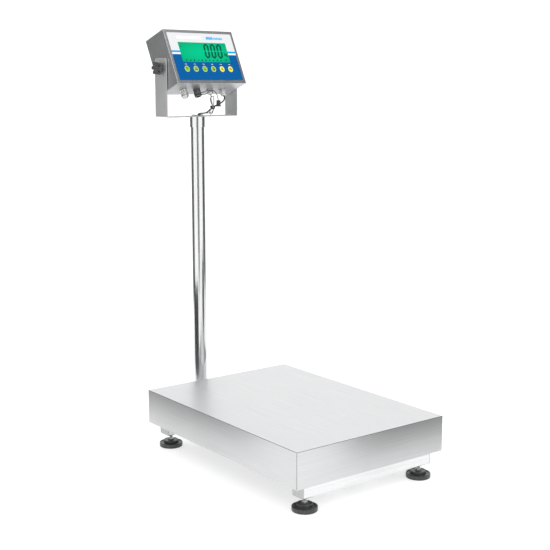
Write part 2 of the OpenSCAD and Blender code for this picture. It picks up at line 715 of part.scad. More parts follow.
module overlay() color([0.05, 0.32, 0.62]) case_frame() difference() {
    translate([0, -pivot_front - overlay_t / 2, case_h / 2 - pivot_bottom])
        bar(1, overlay_t, overlay_w, overlay_h, 2.5);
    box([-window_w / 2, -pivot_front - 1, window_z], [window_w / 2, -pivot_front + 1, window_z + window_h]);
    for (x = key_x) translate([x, -pivot_front - 1, -key_drop]) rotate([-90, 0, 0])
        cylinder(h = 2, r = key_r + slip);
}

module display_window() color([0.1, 0.75, 0.5]) case_frame()
    box([-window_w / 2, -pivot_front - overlay_t, window_z],
        [window_w / 2, -pivot_front, window_z + window_h]);

display_t = 11;

module display_module() color([0.2, 0.5, 0.35]) case_frame() difference() {
    box([-window_w / 2 - 6, -pivot_front + case_t, window_z - 4],
        [window_w / 2 + 6, -pivot_front + case_t + display_t, window_z + window_h + 4]);
    box([-window_w / 2 + 1, -pivot_front + case_t - 1, window_z + 1],
        [window_w / 2 - 1, -pivot_front + case_t + 2, window_z + window_h - 1]);
}

board_t = 1.6;
keypad_z = -key_drop - 2;
keypad_gap = 5.2;      // from the face's inside to the keypad board's middle
main_y = shell_rear - 22;
main_z = 14;
main_w = 190;
main_h = 110;

module keypad_board() color(board_green) case_frame()
    translate([0, -pivot_front + case_t + keypad_gap, keypad_z]) bar(1, board_t, 5 * key_pitch + 30, 26, 2);

module main_board() color(board_green) case_frame()
    translate([0, main_y, main_z]) bar(1, board_t, main_w, main_h, 2);

pillar_at = [for (x = [-1, 1], z = [-1, 1]) [x * (main_w / 2 - 7), main_z + z * (main_h / 2 - 7)]];
pillar_l = shell_rear + gasket_t - main_y - board_t / 2;

module board_pillars() color(zinc) case_frame() for (p = pillar_at)
    translate([p[0], main_y + board_t / 2, p[1]]) rotate([-90, 0, 0])
        cylinder(h = pillar_l, r = 3.5, $fn = 24);

key_proud = 0.6;       // cap of a key above the overlay
key_cap_t = 2.9;
plunger_end = case_t + keypad_gap - board_t / 2 - key_travel - slip;   // behind the case's face

// one key: a cap proud of the overlay, with a plunger that stops short of its switch
module key(i) case_frame() translate([key_x[i], 0, -key_drop]) rotate([-90, 0, 0])
    color(i < 4 ? [0.45, 0.78, 0.2] : [0.98, 0.9, 0.1]) {
        translate([0, 0, -pivot_front - overlay_t - key_proud]) cylinder(h = key_cap_t, r = key_r);
        translate([0, 0, -pivot_front + 1]) cylinder(h = plunger_end - 1, r = 3);
    }

module key_1() key(0);
module key_2() key(1);
module key_3() key(2);
module key_4() key(3);
module key_5() key(4);
module key_6() key(5);

// ---------------------------------------------------------------- connectors and cables

flange_d = 3;          // thickness of a connector's flange
neck_h = 10;           // threaded neck inside the case
capped_l = 22;
data_l = 18;
socket_depth = 8;      // socket of the data connector
socket_bore_r = 7;

// threaded neck through the case with its nut inside, and a flange outside
module conn_neck(x) translate([x, 0, -pivot_bottom]) {
    translate([0, 0, -2]) cylinder(h = neck_h + 2, r = conn_r);
    translate([0, 0, case_t]) cylinder(h = 4, r = hex_r(conn_r) * 0.74, $fn = 6);
    translate([0, 0, -flange_d]) cylinder(h = flange_d, r = conn_r + 3);
}

module capped_connector() color(zinc) case_frame() {
    conn_neck(conn_x[0]);
    translate([conn_x[0], 0, -pivot_bottom - flange_d]) rotate([180, 0, 0]) rotate_extrude() polygon([
        [0, 0], [conn_r + 1, 0], [conn_r + 1, 4], [conn_r + 2.4, 4.6], [conn_r + 2.4, capped_l - 4],
        [conn_r - 0.5, capped_l], [0, capped_l]
    ]);
}

module data_connector() color(black) case_frame() {
    conn_neck(conn_x[1]);
    translate([conn_x[1], 0, -pivot_bottom - flange_d]) rotate([180, 0, 0]) difference() {
        rotate_extrude() polygon([
            [0, 0], [conn_r + 2, 0], [conn_r + 2, 5], [conn_r + 3, 6], [conn_r + 3, data_l - 1],
            [conn_r + 2, data_l], [0, data_l]
        ]);
        translate([0, 0, data_l - socket_depth]) cylinder(h = socket_depth + 1, r = socket_bore_r);
    }
}

gland_len = [15, 20];

module cable_glands() color(zinc) case_frame() for (g = [0, 1]) {
    bore = (g == 0 ? supply_cable_r : load_cable_r) + bolt_fit;
    difference() {
        union() {
            conn_neck(conn_x[2 + g]);
            translate([conn_x[2 + g], 0, -pivot_bottom - gland_len[g]]) {
                translate([0, 0, 4]) cylinder(h = gland_len[g] - 6, r = conn_r + 2.2, $fn = 6);
                cylinder(h = gland_len[g] - 2, r = conn_r);
            }
        }
        translate([conn_x[2 + g], 0, -pivot_bottom - 30]) cylinder(h = 50, r = bore);
    }
}

module load_cable() color(cable_dark) head_frame()
    cord(smooth(load_route, 1), load_cable_r, [0, 1, 0.02]);

module supply_cable() color(cable_grey) head_frame()
    cord(smooth(supply_route, 1), supply_cable_r, [0, 1, 0.02]);

// folds of the supply cable: a loop up to its gland, and a loop below the tie
hank_t = 7;            // thickness of the bundle
hank_neck_r = 4;       // where the tie squeezes it

module supply_hank() color(cable_grey) head_frame() translate(tie_at) rotate(hank_turn)
    rotate([90, 0, 0]) linear_extrude(hank_t, center = true) for (loop = [[-2, 34.5, 9.5], [-10, -8.5, 9.5]])
        hull() {
            translate([loop[0], loop[1]]) circle(loop[2], $fn = 24);
            circle(hank_neck_r, $fn = 24);
        }

module cable_tie() color(black) head_frame() translate(tie_at) rotate(hank_turn) {
    translate([0, 0, -2]) ring(6.6, 5.4, 4);
    translate([-2.5, 5.6, -2.5]) cube([5, 4.5, 5]);
}

module cap_lanyard() color(black) head_frame()
    cord(smooth(lanyard_route, 1), 0.8, [0.2, 1, 0.1]);

module dust_cap() color(black) head_frame() translate(dust_cap_at) rotate([180, 0, 0])
    rotate_extrude() polygon([[0, 0], [6.2, 0], [6.2, 15], [7.4, 15.5], [7.4, 19], [0, 19]]);

// ---------------------------------------------------------------- choice of node

pan();
pan_buffers();
spider_side_rails();
spider_cross_rails();
spider_plate();
upper_spacer();
cell_bolts_upper();
load_cell();
lower_spacer();
cell_bolts_lower();
base_plate();
base_cross_beams();
base_side_rails();
beam_end_caps();
overload_stops();
lock_nuts();
foot_pad_fl();
foot_pad_fr();
foot_pad_rl();
foot_pad_rr();
foot_stud_fl();
foot_stud_fr();
foot_stud_rl();
foot_stud_rr();
column_arm();
column_bolts();
column_tube();
column_cable();
column_cap();
cap_screws();
cable_grommet();
yoke();
knob_left();
knob_right();
tilt_washers();
case_shell();
back_gasket();
case_back();
back_screws();
overlay();
display_window();
display_module();
keypad_board();
main_board();
board_pillars();
key_1();
key_2();
key_3();
key_4();
key_5();
key_6();
capped_connector();
data_connector();
cable_glands();
load_cable();
supply_cable();
supply_hank();
cable_tie();
cap_lanyard();
dust_cap();
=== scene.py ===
"""Looks of an animal weighing scale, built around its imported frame.

A steel platform stands on four screwed feet. A column behind it carries a bracket with a
tilting indicator, whose cables run down into the column. Lengths are in metres, in the
frame's own axes. The head and the case have local frames of their own.
"""

import json
import logging
import math
from contextlib import contextmanager
from dataclasses import dataclass
from enum import Enum
from typing import Callable, Iterator, Sequence

import bpy
from mathutils import Euler, Matrix, Vector


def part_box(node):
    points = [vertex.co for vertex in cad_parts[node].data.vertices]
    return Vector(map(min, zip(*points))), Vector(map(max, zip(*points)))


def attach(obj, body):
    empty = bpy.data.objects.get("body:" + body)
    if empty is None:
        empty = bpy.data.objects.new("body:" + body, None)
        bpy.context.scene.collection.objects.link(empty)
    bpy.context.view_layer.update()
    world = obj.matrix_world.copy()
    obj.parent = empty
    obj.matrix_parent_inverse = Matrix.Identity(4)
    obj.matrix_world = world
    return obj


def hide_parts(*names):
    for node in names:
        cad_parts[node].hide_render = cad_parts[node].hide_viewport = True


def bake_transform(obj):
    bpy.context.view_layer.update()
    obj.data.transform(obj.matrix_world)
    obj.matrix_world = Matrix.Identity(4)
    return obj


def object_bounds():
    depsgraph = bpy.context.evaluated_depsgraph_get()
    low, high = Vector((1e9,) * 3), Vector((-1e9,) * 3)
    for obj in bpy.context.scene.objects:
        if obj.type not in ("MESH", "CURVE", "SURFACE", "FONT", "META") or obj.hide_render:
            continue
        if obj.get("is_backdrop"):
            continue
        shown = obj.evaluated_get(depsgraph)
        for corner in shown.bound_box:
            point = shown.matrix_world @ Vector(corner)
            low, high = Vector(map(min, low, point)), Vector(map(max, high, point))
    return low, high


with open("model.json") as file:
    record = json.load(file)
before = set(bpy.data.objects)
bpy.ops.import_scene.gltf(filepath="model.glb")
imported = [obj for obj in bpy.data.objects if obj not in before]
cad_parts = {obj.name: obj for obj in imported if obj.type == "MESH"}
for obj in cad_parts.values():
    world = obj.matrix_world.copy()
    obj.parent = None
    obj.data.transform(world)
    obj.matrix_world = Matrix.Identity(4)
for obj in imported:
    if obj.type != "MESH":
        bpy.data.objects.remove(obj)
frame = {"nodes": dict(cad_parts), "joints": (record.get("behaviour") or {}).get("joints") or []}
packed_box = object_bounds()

log = logging.getLogger("scale")
MM = 0.001
Point = tuple[float, float, float]
Colour = tuple[float, float, float]


# ------------------------------------------------------------------ places


@dataclass(frozen=True)
class Places:
    """Local frames of the turned head and of the tilted case, in metres.

    Attributes:
        head: Frame on the column's axis at the bracket's underside, X to the right.
        case: Frame on the tilt pivot, X along the pivot and Y into the case.
    """

    head: Matrix
    case: Matrix

    @classmethod
    def from_joints(cls, joints: Sequence[dict]) -> "Places":
        """Reads both frames off the joints.

        Args:
            joints: The record's joints.

        Returns:
            The two frames at rest.
        """
        named = {joint["name"]: joint for joint in joints}
        across = Vector(named["case_tilt"]["axis"]).normalized()
        inward = Vector(named["key_1_press"]["axis"]).normalized()
        up = Vector((0, 0, 1))
        return cls(
            head=axes(across, up.cross(across), up, named["head_swivel"]["pos_m"]),
            case=axes(across, inward, across.cross(inward), named["case_tilt"]["pos_m"]),
        )


def axes(x: Vector, y: Vector, z: Vector, origin: Sequence[float]) -> Matrix:
    """Matrix whose columns are three axes and an origin."""
    return Matrix.Translation(Vector(origin)) @ Matrix((x, y, z)).transposed().to_4x4()


def local_box(node: str, place: Matrix) -> tuple[Vector, Vector]:
    """Lowest and highest corner of a CAD node in a local frame.

    Args:
        node: Name of the node.
        place: The local frame.

    Returns:
        The two corners, in the local frame.
    """
    back = place.inverted()
    points = [back @ v.co for v in frame["nodes"][node].data.vertices]
    low = Vector([min(p[i] for p in points) for i in range(3)])
    high = Vector([max(p[i] for p in points) for i in range(3)])
    return low, high


def from_mm(points: Sequence[Point]) -> list[Vector]:
    """Points given in millimetres, as vectors in metres."""
    return [Vector(p) * MM for p in points]


# ------------------------------------------------------------------ modelling


def clear_selection() -> None:
    """Deselects every object."""
    bpy.ops.object.select_all(action="DESELECT")


def pick(piece: bpy.types.Object) -> None:
    """Makes a piece the only selected and the active object."""
    clear_selection()
    piece.select_set(True)
    bpy.context.view_layer.objects.active = piece


@contextmanager
def editing(piece: bpy.types.Object) -> Iterator[None]:
    """Holds a piece in edit mode."""
    pick(piece)
    bpy.ops.object.mode_set(mode="EDIT")
    yield
    bpy.ops.object.mode_set(mode="OBJECT")


def select_faces(piece: bpy.types.Object, test: Callable[[Vector, Vector], bool]) -> None:
    """Selects the faces whose centre and normal pass a test, and nothing else.

    Args:
        piece: The piece, in object mode.
        test: Takes a face's centre and normal.
    """
    bpy.context.tool_settings.mesh_select_mode = (False, False, True)
    mesh = piece.data
    for part in (mesh.vertices, mesh.edges):
        for item in part:
            item.select = False
    for face in mesh.polygons:
        face.select = test(face.center, face.normal)


def select_edges(piece: bpy.types.Object, test: Callable[[Vector, Vector], bool]) -> None:
    """Selects the edges whose two ends pass a test, and nothing else.

    Args:
        piece: The piece, in object mode.
        test: Takes the places of an edge's two ends.
    """
    bpy.context.tool_settings.mesh_select_mode = (False, True, False)
    mesh = piece.data
    for face in mesh.polygons:
        face.select = False
    for vertex in mesh.vertices:
        vertex.select = False
    for edge in mesh.edges:
        a, b = (mesh.vertices[i].co for i in edge.vertices)
        edge.select = test(a, b)


def apply(piece: bpy.types.Object, kind: str, **settings: object) -> None:
    """Adds a modifier to a piece and applies it.

    Args:
        piece: The piece.
        kind: The modifier's type.
        settings: The modifier's properties.
    """
    pick(piece)
    modifier = piece.modifiers.new(kind.lower(), kind)
    for key, value in settings.items():
        setattr(modifier, key, value)
    bpy.ops.object.modifier_apply(modifier=modifier.name)


def soften(piece: bpy.types.Object, width: float, segments: int = 2, sharp: float = 30) -> None:
    """Rounds every edge of a piece that is sharper than an angle in degrees."""
    apply(piece, "BEVEL", width=width, segments=segments, limit_method="ANGLE",
          angle_limit=math.radians(sharp), use_clamp_overlap=True)


def smooth(piece: bpy.types.Object, angle: float = 32) -> bpy.types.Object:
    """Shades a piece smooth across edges flatter than an angle, and keeps its flats flat."""
    pick(piece)
    bpy.ops.object.shade_smooth_by_angle(angle=math.radians(angle))
    apply(piece, "WEIGHTED_NORMAL", keep_sharp=True, weight=80)
    return piece


def settle(piece: bpy.types.Object, place: Matrix) -> bpy.types.Object:
    """Puts a piece in its place and moves that place into its mesh."""
    pick(piece)
    piece.matrix_world = place @ piece.matrix_world
    bpy.ops.object.transform_apply(location=True, rotation=True, scale=True)
    return piece


def block(name: str, low: Sequence[float], high: Sequence[float]) -> bpy.types.Object:
    """Adds a cube at its size and place.

    Args:
        name: The piece's name.
        low: Its lowest corner.
        high: Its highest corner.

    Returns:
        The piece, still with sharp edges.
    """
    clear_selection()
    low, high = Vector(low), Vector(high)
    bpy.ops.mesh.primitive_cube_add(size=1, location=(low + high) / 2, scale=high - low)
    piece = bpy.context.object
    piece.name = name
    bpy.ops.object.transform_apply(location=True, rotation=True, scale=True)
    return piece


def bevel(piece: bpy.types.Object, test: Callable[[Vector, Vector], bool], width: float,
          segments: int) -> None:
    """Rounds the edges of a piece whose two ends pass a test.

    Args:
        piece: The piece.
        test: Takes the places of an edge's two ends.
        width: Width of the rounding.
        segments: Number of its steps.
    """
    select_edges(piece, test)
    with editing(piece):
        bpy.ops.mesh.bevel(offset=width, segments=segments, affect="EDGES")


def through(a: Vector, b: Vector) -> bool:
    """Tells whether an edge runs along Y."""
    return abs(a.x - b.x) < 1e-6 and abs(a.z - b.z) < 1e-6


def folded(name: str, low: Vector, high: Vector, opening: Callable[[Vector, Vector], bool],
           edges: Callable[[Vector, Vector], bool], fold: float, sheet: float) -> bpy.types.Object:
    """Folds a box with one open side from sheet.

    Args:
        name: The piece's name.
        low: Its lowest corner.
        high: Its highest corner.
        opening: Picks the open side by its centre and normal.
        edges: Picks the folds by their two ends.
        fold: Radius outside a fold.
        sheet: Thickness of the sheet.

    Returns:
        The open box.
    """
    box = block(name, low, high)
    select_faces(box, opening)
    with editing(box):
        bpy.ops.mesh.delete(type="ONLY_FACE")
    bevel(box, edges, fold, 3)
    apply(box, "SOLIDIFY", thickness=sheet, offset=-1)
    return box


def discard(*pieces: bpy.types.Object) -> None:
    """Deletes pieces that have served as a tool or a pattern."""
    for piece in pieces:
        bpy.data.objects.remove(piece, do_unlink=True)


def cylinder(name: str, radius: float, depth: float, centre: Sequence[float] = (0, 0, 0),
             sides: int = 48, turn: Sequence[float] = (0, 0, 0)) -> bpy.types.Object:
    """Adds a cylinder at its size and place.

    Args:
        name: The piece's name.
        radius: Its radius.
        depth: Its length.
        centre: Its middle.
        sides: Number of faces round the axis.
        turn: Its turn from standing along Z, in radians.

    Returns:
        The cylinder, still with sharp edges.
    """
    clear_selection()
    bpy.ops.mesh.primitive_cylinder_add(vertices=sides, radius=radius, depth=depth,
                                        location=centre, rotation=turn)
    piece = bpy.context.object
    piece.name = name
    bpy.ops.object.transform_apply(location=True, rotation=True, scale=True)
    return piece


def turned(name: str, profile: Sequence[tuple[float, float]], steps: int = 48) -> bpy.types.Object:
    """Spins an outline about Z.

    Args:
        name: The piece's name.
        profile: Radius and height of each point, from one end of the outline to the other.
        steps: Number of faces round the axis.

    Returns:
        The closed solid.
    """
    clear_selection()
    bpy.ops.mesh.primitive_plane_add(size=MM)
    piece = bpy.context.object
    piece.name = name
    bpy.context.tool_settings.mesh_select_mode = (True, False, False)
    with editing(piece):
        bpy.ops.mesh.select_all(action="SELECT")
        bpy.ops.mesh.merge(type="CENTER")
        bpy.ops.transform.translate(value=(profile[0][0], 0, profile[0][1]))
        for (r0, z0), (r1, z1) in zip(profile, profile[1:]):
            bpy.ops.mesh.extrude_vertices_move(
                TRANSFORM_OT_translate={"value": (r1 - r0, 0, z1 - z0)})
        bpy.ops.mesh.select_all(action="SELECT")
        bpy.ops.mesh.spin(steps=steps, angle=math.tau, center=(0, 0, 0), axis=(0, 0, 1))
        bpy.ops.mesh.select_all(action="SELECT")
        bpy.ops.mesh.remove_doubles(threshold=1e-6)
        bpy.ops.mesh.normals_make_consistent(inside=False)
    return piece


def prism(name: str, radius: float, low: float, high: float, sides: int,
          chamfer: float) -> bpy.types.Object:
    """Adds a regular prism along Z with softened edges, such as a nut's body."""
    piece = cylinder(name, radius, high - low, (0, 0, (low + high) / 2), sides)
    soften(piece, chamfer, 2, 30)
    return piece


def carve(piece: bpy.types.Object, tool: bpy.types.Object) -> None:
    """Cuts a tool's shape out of a piece and deletes the tool."""
    apply(piece, "BOOLEAN", operation="DIFFERENCE", solver="EXACT", object=tool)
    discard(tool)


def ribbed(piece: bpy.types.Object, low: float, high: float, steps: int, every: int, depth: float,
           rim: float = 0.12 * MM, inner: float = 0.0) -> bpy.types.Object:
    """Sinks upright grooves into a turned band.

    Args:
        piece: The turned piece.
        low: Lower end of the band.
        high: Upper end.
        steps: Number of the piece's faces round its axis.
        every: One face in this many is sunk.
        depth: Depth of a groove.
        rim: Width of the slope round a groove.
        inner: Faces nearer to the axis stay as they are.

    Returns:
        The piece.
    """
    select_faces(piece, lambda c, n: low < c.z < high and n.xy.length > 0.95
                 and c.xy.length > inner
                 and int(math.atan2(c.y, c.x) / math.tau * steps + steps) % every == 0)
    with editing(piece):
        bpy.ops.mesh.inset(thickness=rim, depth=-depth, use_individual=True)
    return piece


def join(name: str, pieces: Sequence[bpy.types.Object]) -> bpy.types.Object:
    """Joins several pieces into one object with their own closed shells."""
    pick(pieces[0])
    for piece in pieces[1:]:
        piece.select_set(True)
    if len(pieces) > 1:
        bpy.ops.object.join()
    pieces[0].name = name
    return pieces[0]


def copied(piece: bpy.types.Object, name: str, place: Matrix) -> bpy.types.Object:
    """Copies a finished piece, with a mesh of its own, to another place."""
    twin = piece.copy()
    twin.data = piece.data.copy()
    twin.name = name
    bpy.context.collection.objects.link(twin)
    return settle(twin, place)


def hand_over(piece: bpy.types.Object, body: str, material: bpy.types.Material,
              nodes: Sequence[str] = ()) -> bpy.types.Object:
    """Dresses a finished piece and gives it to a body.

    Args:
        piece: The piece.
        body: The CAD body that it rides on.
        material: Its finish.
        nodes: CAD nodes that it stands for.

    Returns:
        The piece.
    """
    if not piece.data.materials:
        piece.data.materials.append(material)
    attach(piece, body)
    if nodes:
        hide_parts(*nodes)
    log.info("piece %s rides on %s", piece.name, body)
    return piece


# ------------------------------------------------------------------ finishes

# Dark lines where two sides of a folded box meet: at its upright corners the real seam, and along
# its top folds painted shade that stands in for the folds' dark reflection. Width, strength and
# colour, and the strip at its foot without any.
SEAM_AND_FOLD_SHADE_WIDTH = 0.9 * MM
SEAM_AND_FOLD_SHADE_SHARE = 0.88
SEAM_AND_FOLD_SHADE_COLOUR = (0.08, 0.08, 0.085)
HEM = 2 * MM
# Noise scales of clouded, worn and rubbed places, and the stretch that changes nothing.
CLOUDS, WEAR, RUBS = 7.0, 60.0, 70.0
EVEN = (1, 1, 1)


class Paper:
    """A material's node tree, with short calls that add and join nodes."""

    def __init__(self, name: str) -> None:
        """Starts a material with its Principled shader."""
        self.material = bpy.data.materials.new(name)
        self.material.use_nodes = True
        self.tree = self.material.node_tree
        self.shader = self.tree.nodes["Principled BSDF"]

    def node(self, kind: str, inputs: dict | None = None, **props: object) -> bpy.types.Node:
        """Adds a node, sets its properties and sets or links its inputs.

        Args:
            kind: The node's type.
            inputs: Values, or sockets to link from, by input name or number.
            props: Properties of the node.

        Returns:
            The node.
        """
        node = self.tree.nodes.new(kind)
        for key, value in props.items():
            setattr(node, key, value)
        for key, value in (inputs or {}).items():
            self.feed(node.inputs[key], value)
        return node

    def feed(self, socket: bpy.types.NodeSocket, value: object) -> None:
        """Links a socket to a socket, or sets it to a value."""
        if isinstance(value, bpy.types.NodeSocket):
            self.tree.links.new(value, socket)
        else:
            socket.default_value = value

    def set(self, **values: object) -> None:
        """Sets or links the shader's inputs, with _ for a space in a name."""
        for key, value in values.items():
            if isinstance(value, tuple) and len(value) == 3:
                value = (*value, 1)
            self.feed(self.shader.inputs[key.replace("_", " ")], value)

    def place(self, stretch: Point, turn: Matrix | None = None) -> bpy.types.NodeSocket:
        """Object coordinates, turned into a local frame and stretched.

        Args:
            stretch: Scale along each local axis.
            turn: The local frame, or None for the frame's own axes.

        Returns:
            The coordinates' socket.
        """
        where = self.node("ShaderNodeTexCoord").outputs["Object"]
        if turn is not None:
            back = turn.inverted()
            where = self.node("ShaderNodeMapping", {
                "Vector": where, "Location": back.to_translation(),
                "Rotation": back.to_euler("XYZ")}).outputs[0]
        return self.node("ShaderNodeMapping", {"Vector": where, "Scale": stretch}).outputs[0]

    def noise(self, where: bpy.types.NodeSocket, scale: float, detail: float = 4,
              rough: float = 0.55) -> bpy.types.NodeSocket:
        """Noise between about 0 and 1."""
        return self.node("ShaderNodeTexNoise", {
            "Vector": where, "Scale": scale, "Detail": detail, "Roughness": rough}).outputs[0]

    def span(self, value: bpy.types.NodeSocket, low: float, high: float,
             start: float = 0.3, end: float = 0.7) -> bpy.types.NodeSocket:
        """Maps start to end onto low to high, held at both ends."""
        return self.node("ShaderNodeMapRange", {
            "Value": value, "From Min": start, "From Max": end,
            "To Min": low, "To Max": high}).outputs[0]

    def mix(self, amount: object, a: object, b: object, blend: str = "MIX") -> bpy.types.NodeSocket:
        """Mixes two colours."""
        node = self.node("ShaderNodeMix", data_type="RGBA", blend_type=blend)
        for socket, value in ((node.inputs[0], amount), (node.inputs[6], a), (node.inputs[7], b)):
            self.feed(socket, (*value, 1) if isinstance(value, tuple) else value)
        return node.outputs[2]

    def maths(self, operation: str, a: object, b: object = 0.0) -> bpy.types.NodeSocket:
        """One step of arithmetic on two values."""
        return self.node("ShaderNodeMath", {0: a, 1: b}, operation=operation).outputs[0]

    def bump(self, height: bpy.types.NodeSocket, strength: float, depth: float) -> None:
        """Raises the surface by a height between 0 and 1."""
        self.set(Normal=self.node("ShaderNodeBump", {
            "Height": height, "Strength": strength, "Distance": depth}).outputs[0])


@dataclass(frozen=True)
class Brushed:
    """Ground or satin steel, with fine lines one way.

    Attributes:
        light: Colour of the ridges.
        dark: Colour of the lines.
        rough: Roughness of ridges and lines.
        along: Stretch of the lines along X, Y and Z, where a small figure means long.
        turn: Local frame of the lines, or None.
        depth: Depth of the lines.
        ends: Stretch on faces that look along Y, or None for the same.
        seams_and_fold_shade: Lowest and highest corner of a folded box whose edges are dark, or
            None. The dark edges are the real seam at each upright corner, and painted shade
            standing in for the folds' reflection along the top folds.
    """

    light: Colour
    dark: Colour
    rough: tuple[float, float] = (0.22, 0.34)
    along: Point = (900, 6, 900)
    turn: Matrix | None = None
    depth: float = 0.00003
    ends: Point | None = None
    seams_and_fold_shade: tuple[Vector, Vector] | None = None

    def near_edge(self, paper: Paper) -> bpy.types.NodeSocket:
        """One where a point is close to two sides of the folded box at once, else nought."""
        low, high = self.seams_and_fold_shade
        centred = paper.node("ShaderNodeSeparateXYZ", {0: paper.node("ShaderNodeMapping", {
            "Vector": paper.node("ShaderNodeTexCoord").outputs["Object"],
            "Location": -(low + high) / 2}).outputs[0]})
        close = [paper.maths("GREATER_THAN", paper.maths("ABSOLUTE", out), half - SEAM_AND_FOLD_SHADE_WIDTH)
                 for out, half in zip(centred.outputs, (high - low) / 2)]
        below = paper.maths("GREATER_THAN", centred.outputs[2], (low - high).z / 2 + HEM)
        count = paper.maths("ADD", paper.maths("ADD", close[0], close[1]), close[2])
        return paper.maths("MULTIPLY", paper.maths("GREATER_THAN", count, 1.5), below)

    def build(self, name: str) -> bpy.types.Material:
        """Makes the material under a name."""
        paper = Paper(name)
        lines = paper.noise(paper.place(self.along, self.turn), 1.0, 3, 0.6)
        if self.ends is not None:
            other = paper.noise(paper.place(self.ends, self.turn), 1.0, 3, 0.6)
            normal = paper.node("ShaderNodeTexCoord").outputs["Normal"]
            y = paper.node("ShaderNodeSeparateXYZ", {0: normal}).outputs[1]
            facing = paper.maths("GREATER_THAN", paper.maths("ABSOLUTE", y), 0.7)
            lines = paper.node("ShaderNodeMix", {0: facing, 2: lines, 3: other}).outputs[0]
        cloud = paper.noise(paper.place(EVEN, self.turn), CLOUDS, 3, 0.5)
        wear = paper.noise(paper.place(EVEN, self.turn), WEAR, 4, 0.6)
        tone = paper.mix(paper.span(lines, 0, 1, 0.34, 0.66), self.dark, self.light)
        tone = paper.mix(paper.span(cloud, 0, 0.22), tone, self.dark)
        # Darkens the edges: painted shade for the folds' dark reflection along the top, and the
        # real seam at the upright corners.
        if self.seams_and_fold_shade is not None:
            shade = paper.maths("MULTIPLY", self.near_edge(paper), SEAM_AND_FOLD_SHADE_SHARE)
            tone = paper.mix(shade, tone, SEAM_AND_FOLD_SHADE_COLOUR)
        rough = paper.maths("ADD", paper.span(lines, self.rough[1], self.rough[0]),
                            paper.span(wear, 0, 0.05, 0.5, 0.75))
        paper.set(Base_Color=tone, Metallic=1.0, Roughness=rough)
        paper.bump(lines, 0.25, self.depth)
        return paper.material


@dataclass(frozen=True)
class Plated:
    """Bright plating over turned metal, slightly clouded.

    Attributes:
        colour: Colour of the plating.
        dull: Colour where it has clouded.
        rough: Roughness of bright and clouded places.
    """

    colour: Colour
    dull: Colour
    rough: tuple[float, float] = (0.12, 0.34)

    def build(self, name: str) -> bpy.types.Material:
        """Makes the material under a name."""
        paper = Paper(name)
        where = paper.place(EVEN)
        cloud = paper.noise(where, 180.0, 4, 0.6)
        grit = paper.noise(where, 1400.0, 3, 0.6)
        paper.set(Base_Color=paper.mix(paper.span(cloud, 0, 0.8), self.colour, self.dull),
                  Metallic=1.0, Roughness=paper.span(cloud, self.rough[0], self.rough[1]))
        paper.bump(grit, 0.15, 0.00003)
        return paper.material


@dataclass(frozen=True)
class Moulded:
    """Moulded plastic, rubber or cable sheath with a fine grain.

    Attributes:
        colour: Its colour.
        worn: Its colour where it is rubbed or dusty.
        rough: Roughness of smooth and rubbed places.
        grain: Size of the grain, as a scale.
        depth: Depth of the grain.
        sheen: Strength of the clear reflection.
    """

    colour: Colour
    worn: Colour
    rough: tuple[float, float] = (0.38, 0.55)
    grain: float = 900.0
    depth: float = 0.00008
    sheen: float = 0.5

    def build(self, name: str) -> bpy.types.Material:
        """Makes the material under a name."""
        paper = Paper(name)
        where = paper.place(EVEN)
        rub = paper.noise(where, RUBS, 4, 0.6)
        grain = paper.noise(where, self.grain, 3, 0.6)
        paper.set(Base_Color=paper.mix(paper.span(rub, 0, 0.7, 0.45, 0.75), self.colour, self.worn),
                  Roughness=paper.span(rub, self.rough[0], self.rough[1]),
                  Specular_IOR_Level=self.sheen)
        paper.bump(grain, 0.3, self.depth)
        return paper.material


@dataclass(frozen=True)
class Printed:
    """Printed film of the indicator's face, in bands from bottom to top.

    Attributes:
        turn: The case's local frame.
        bands: Colour of each band and the height at which it starts.
        low: Height of the face's lower edge.
        high: Height of its upper edge.
    """

    turn: Matrix
    bands: tuple[tuple[Colour, float], ...]
    low: float
    high: float

    def build(self, name: str) -> bpy.types.Material:
        """Makes the material under a name."""
        paper = Paper(name)
        local = paper.place(EVEN, self.turn)
        height = paper.node("ShaderNodeSeparateXYZ", {0: local}).outputs[2]
        share = paper.span(height, 0, 1, self.low, self.high)
        ramp = paper.node("ShaderNodeValToRGB", {0: share})
        ramp.color_ramp.interpolation = "CONSTANT"
        stops = ramp.color_ramp.elements
        while len(stops) < len(self.bands):
            stops.new(0.5)
        for stop, (colour, start) in zip(stops, self.bands):
            stop.position = max(0.0, (start - self.low) / (self.high - self.low))
            stop.color = (*colour, 1)
        fleck = paper.noise(paper.place(EVEN), 2200.0, 2)
        tint = paper.mix(paper.span(fleck, 0.0, 0.05), ramp.outputs[0], (0.0, 0.12, 0.3))
        paper.set(Base_Color=tint, Roughness=paper.span(fleck, 0.42, 0.55), Specular_IOR_Level=0.04)
        paper.bump(fleck, 0.15, 0.00004)
        return paper.material


@dataclass(frozen=True)
class Glow:
    """Backlit display: green, brighter in the middle, with a fine weave of dots.

    Attributes:
        turn: The case's local frame.
        bright: Colour in the middle.
        dim: Colour at the corners.
        centre: Middle of the display in the case's frame.
        half: Half its width and height.
    """

    turn: Matrix
    bright: Colour
    dim: Colour
    centre: Vector
    half: tuple[float, float]

    def build(self, name: str) -> bpy.types.Material:
        """Makes the material under a name."""
        paper = Paper(name)
        local = paper.node("ShaderNodeSeparateXYZ", {0: paper.place(EVEN, self.turn)})
        x, z = (paper.maths("DIVIDE", paper.maths("SUBTRACT", local.outputs[axis], middle), half)
                for axis, middle, half in ((0, self.centre.x, self.half[0]),
                                           (2, self.centre.z, self.half[1])))
        reach = paper.maths("ADD", paper.maths("MULTIPLY", x, x), paper.maths("MULTIPLY", z, z))
        weave = paper.noise(paper.place(EVEN), 1500.0, 2)
        fade = paper.maths("ADD", paper.span(reach, 0, 0.9, 0.0, 1.9),
                           paper.span(weave, -0.05, 0.05))
        colour = paper.mix(fade, self.bright, self.dim)
        paper.set(Base_Color=colour, Emission_Color=colour, Emission_Strength=0.25,
                  Roughness=paper.span(weave, 0.35, 0.45), Specular_IOR_Level=0.02)
        return paper.material


